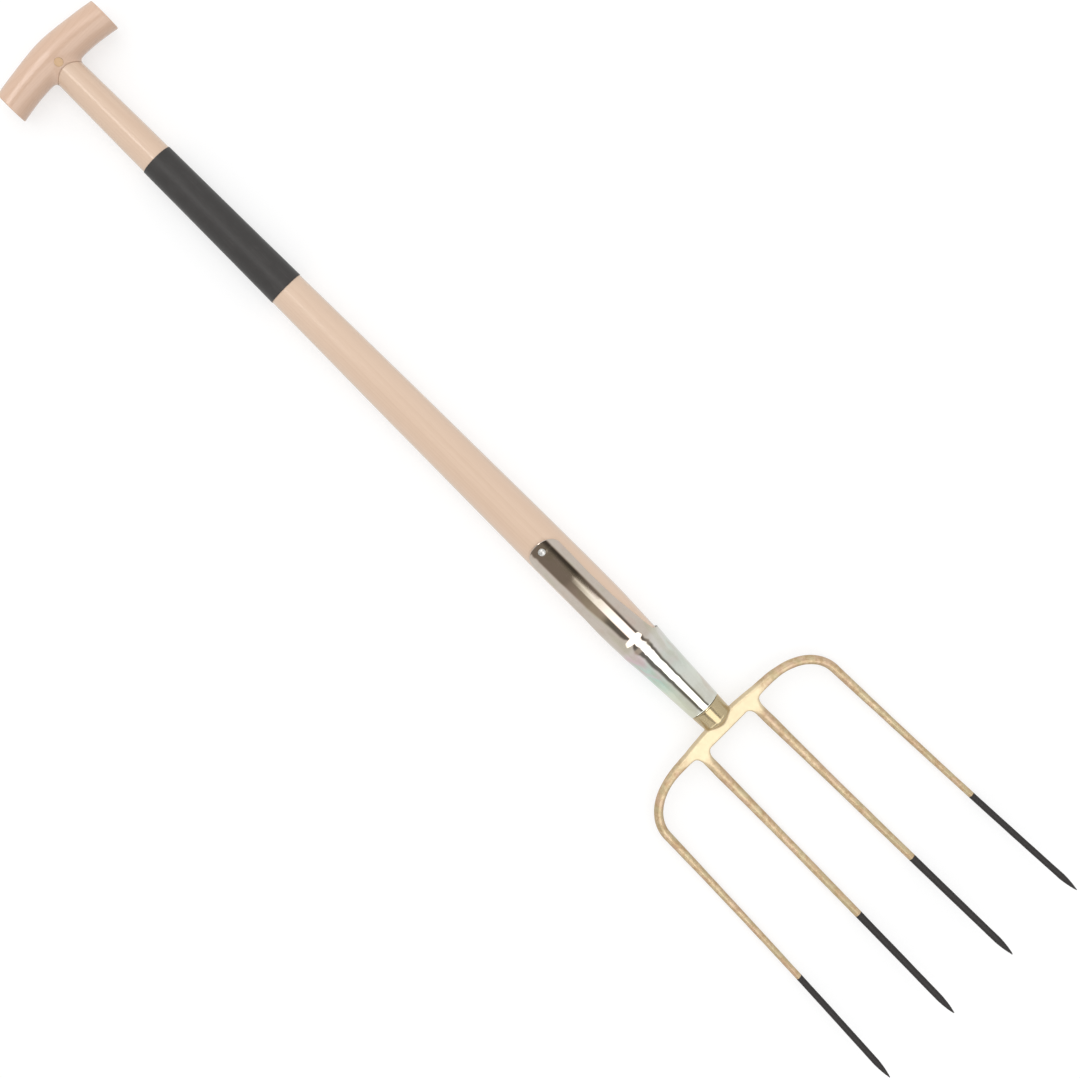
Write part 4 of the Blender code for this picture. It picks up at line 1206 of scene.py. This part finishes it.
class FORK_OT_stage(bpy.types.Operator):
    """Lay the floor, hang the soft lights and set the camera"""

    bl_idname = "fork.stage"
    bl_label = "Studio"

    def floor(self, colours):
        """White to the camera but for the object's shadow, and pale in what mirrors it."""
        deselect()
        bpy.ops.mesh.primitive_plane_add(size=FLOOR_SIZE, location=(0, 0, FLOOR_Z))
        floor = named("studio_floor")
        bake_place()
        tree, shader, _ = new_material("studio_floor", Base_Color=colours.floor, Roughness=1.0,
                                       Specular_IOR_Level=0.0)
        pale = add_node(tree, "BsdfDiffuse", None, Color=(FLOOR_SHADE,) * 3)
        glow = add_node(tree, "Emission", None, Color=(1.0, 1.0, 1.0), Strength=FLOOR_GLOW)
        both = add_node(tree, "AddShader", None, i0=pale.outputs[0], i1=glow.outputs[0])
        mirrored = add_node(tree, "Emission", None, Color=FLOOR_MIRRORED,
                            Strength=FLOOR_MIRRORED_LEVEL)
        path = add_node(tree, "LightPath").outputs
        seen = add_node(tree, "MixShader", None, i0=path["Is Camera Ray"],
                        i1=shader.outputs[0], i2=both.outputs[0])
        final = add_node(tree, "MixShader", None, i0=path["Is Glossy Ray"],
                         i1=seen.outputs[0], i2=mirrored.outputs[0])
        feed(tree, tree.nodes["Material Output"].inputs["Surface"], final.outputs[0])
        floor.data.materials.append(bpy.data.materials["studio_floor"])

    def mirrored_room(self, tree, way):
        """A soft box over the tines in a grey room with one dark wall: its level and its tint."""
        forward = times(tree, way[1], -1.0)
        side = math_node(tree, "ARCTAN2", way[0], way[2])
        ahead = math_node(tree, "ARCTAN2", forward, way[2])
        rise = math_node(tree, "ARCSINE", forward)

        def patch(side_band, other, other_band):
            return times(tree, band(tree, side, *side_band), band(tree, other, *other_band))

        off_middle = math_node(tree, "ABSOLUTE", plus(tree, side, -math.radians(BOX_MIDDLE)))
        near = times_plus(tree, off_middle, -BOX_BOW, ahead)
        box = larger(tree, patch(BOX_SIDE, near, BOX_AHEAD), patch(FLARE_SIDE, rise, FLARE_RISE))
        strip = larger(tree, *(patch(sides, ahead, aheads)
                               for sides, aheads in (SHAFT_STRIP, GRIP_STRIP)))
        glow = patch(GLOW_SIDE, ahead, GLOW_AHEAD)
        skewed = times_plus(tree, rise, -WALL_SKEW, side)
        wall = times(tree, sweep(tree, skewed, *WALL_LEFT),
                     sweep(tree, side, *WALL_RIGHT, 1.0, 0.0), band(tree, rise, *WALL_RISE))
        left_wall = times(tree, wall, sweep(tree, side, *WALL_LEFT_LIFT))

        level = times_plus(tree, wall, -WALL_DARKNESS, ROOM_LEVEL)
        level = times_plus(tree, wall, sweep(tree, rise, *WALL_LIFT), level)
        level = times_plus(tree, left_wall, sweep(tree, rise, *WALL_LEFT_LIFT_ENDS), level)
        level = times_plus(tree, wall, sweep(tree, rise, *WALL_CONE_DROP), level)
        level = times_plus(tree, glow, GLOW_LEVEL, level)
        level = larger(tree, level, times(tree, box, sweep(tree, rise, *BOX_LEVEL)))
        level = larger(tree, level, times(tree, strip, STRIP_LEVEL))
        warm = math_node(tree, "SUBTRACT", wall, larger(tree, box, strip))
        return level, warm, mix_colour(tree, sweep(tree, rise, *WALL_PALES), WALL_WARM, WALL_PALE)

    def room(self):
        """World light: even for matt surfaces, and the mirrored room for gloss."""
        world = bpy.data.worlds.new("studio")
        bpy.context.scene.world = world
        world.use_nodes = True
        tree = world.node_tree
        way = split(tree, add_node(tree, "TexCoord").outputs["Generated"])
        level, warm, tint = self.mirrored_room(tree, way)
        path = add_node(tree, "LightPath").outputs
        gloss = times(tree, path["Is Glossy Ray"],
                      math_node(tree, "SUBTRACT", 1.0, path["Is Diffuse Ray"]))
        matt = times_plus(tree, way[1], MATT_SLOPE, MATT_LEVEL)
        shown = larger(tree, path["Is Camera Ray"], path["Is Transmission Ray"])
        strength = mix_number(tree, gloss, mix_number(tree, shown, matt, 1.0), level)
        colour = mix_colour(tree, clamped(tree, times(tree, warm, gloss)), (1.0, 1.0, 1.0), tint)
        background = tree.nodes["Background"]
        feed(tree, background.inputs["Strength"], strength)
        feed(tree, background.inputs["Color"], colour)

    def lamp(self, name, place, aim, size, watts):
        deselect()
        bpy.ops.object.light_add(type="AREA", location=place)
        lamp = bpy.context.active_object
        lamp.name = name
        lamp.data.shape = "DISK"
        lamp.data.size = size
        lamp.data.energy = watts
        lamp.rotation_euler = (Vector(aim) - Vector(place)).to_track_quat("-Z", "Y").to_euler()
        lamp.visible_glossy = False

    def camera(self):
        """Stands over the shaft, looks down at the fork and rolls it onto the frame's diagonal."""
        place = Vector((CAMERA_SIDE, at(CAMERA_DOWN), AXIS_Z + CAMERA_HEIGHT))
        aim = Vector((CAMERA_SIDE, at(AIM_DOWN), AXIS_Z))
        forward = (aim - place).normalized()
        across = Vector((1, 0, 0))
        along = across.cross(forward).normalized()
        up = across * math.cos(CAMERA_ROLL) + along * math.sin(CAMERA_ROLL)
        right = forward.cross(up).normalized()
        deselect()
        bpy.ops.object.camera_add()
        camera = bpy.context.active_object
        camera.name = "photo_camera"
        turned = Matrix((right, up, -forward)).transposed()
        camera.matrix_world = Matrix.Translation(place) @ turned.to_4x4()
        camera.data.lens = FOCAL_MM
        camera.data.sensor_width = SENSOR_MM
        camera.data.sensor_fit = "HORIZONTAL"
        camera.data.clip_end = 30
        bpy.context.scene.camera = camera

    def execute(self, context):
        self.floor(context.scene.fork_colours)
        self.room()
        for lamp in LAMPS:
            self.lamp(*lamp)
        self.camera()
        context.scene.view_settings.view_transform = "Standard"
        return {"FINISHED"}


class FORK_PT_panel(bpy.types.Panel):
    """Lists the fork's pieces, sizes and colours"""

    bl_idname = "FORK_PT_panel"
    bl_label = "Manure fork"
    bl_space_type = "VIEW_3D"
    bl_region_type = "UI"
    bl_category = "Fork"

    def draw(self, context):
        layout = self.layout
        for operator in OPERATORS:
            layout.operator(operator.bl_idname)
        for group in (context.scene.fork_sizes, context.scene.fork_colours):
            box = layout.box()
            for name in group.__annotations__:
                box.prop(group, name)


OPERATORS = (FORK_OT_materials, FORK_OT_shaft, FORK_OT_grip, FORK_OT_band, FORK_OT_ferrule,
             FORK_OT_head, FORK_OT_stage)
CLASSES = (ForkColours, ForkSizes) + OPERATORS + (FORK_PT_panel,)


def register():
    for cls in CLASSES:
        bpy.utils.register_class(cls)
    bpy.types.Scene.fork_colours = PointerProperty(type=ForkColours)
    bpy.types.Scene.fork_sizes = PointerProperty(type=ForkSizes)


def unregister():
    del bpy.types.Scene.fork_sizes
    del bpy.types.Scene.fork_colours
    for cls in reversed(CLASSES):
        bpy.utils.unregister_class(cls)


def main():
    register()
    bpy.ops.fork.materials()
    bpy.ops.fork.shaft()
    bpy.ops.fork.grip()
    bpy.ops.fork.band()
    bpy.ops.fork.ferrule()
    bpy.ops.fork.head()
    bpy.ops.fork.stage()


if __name__ == "__main__":
    main()
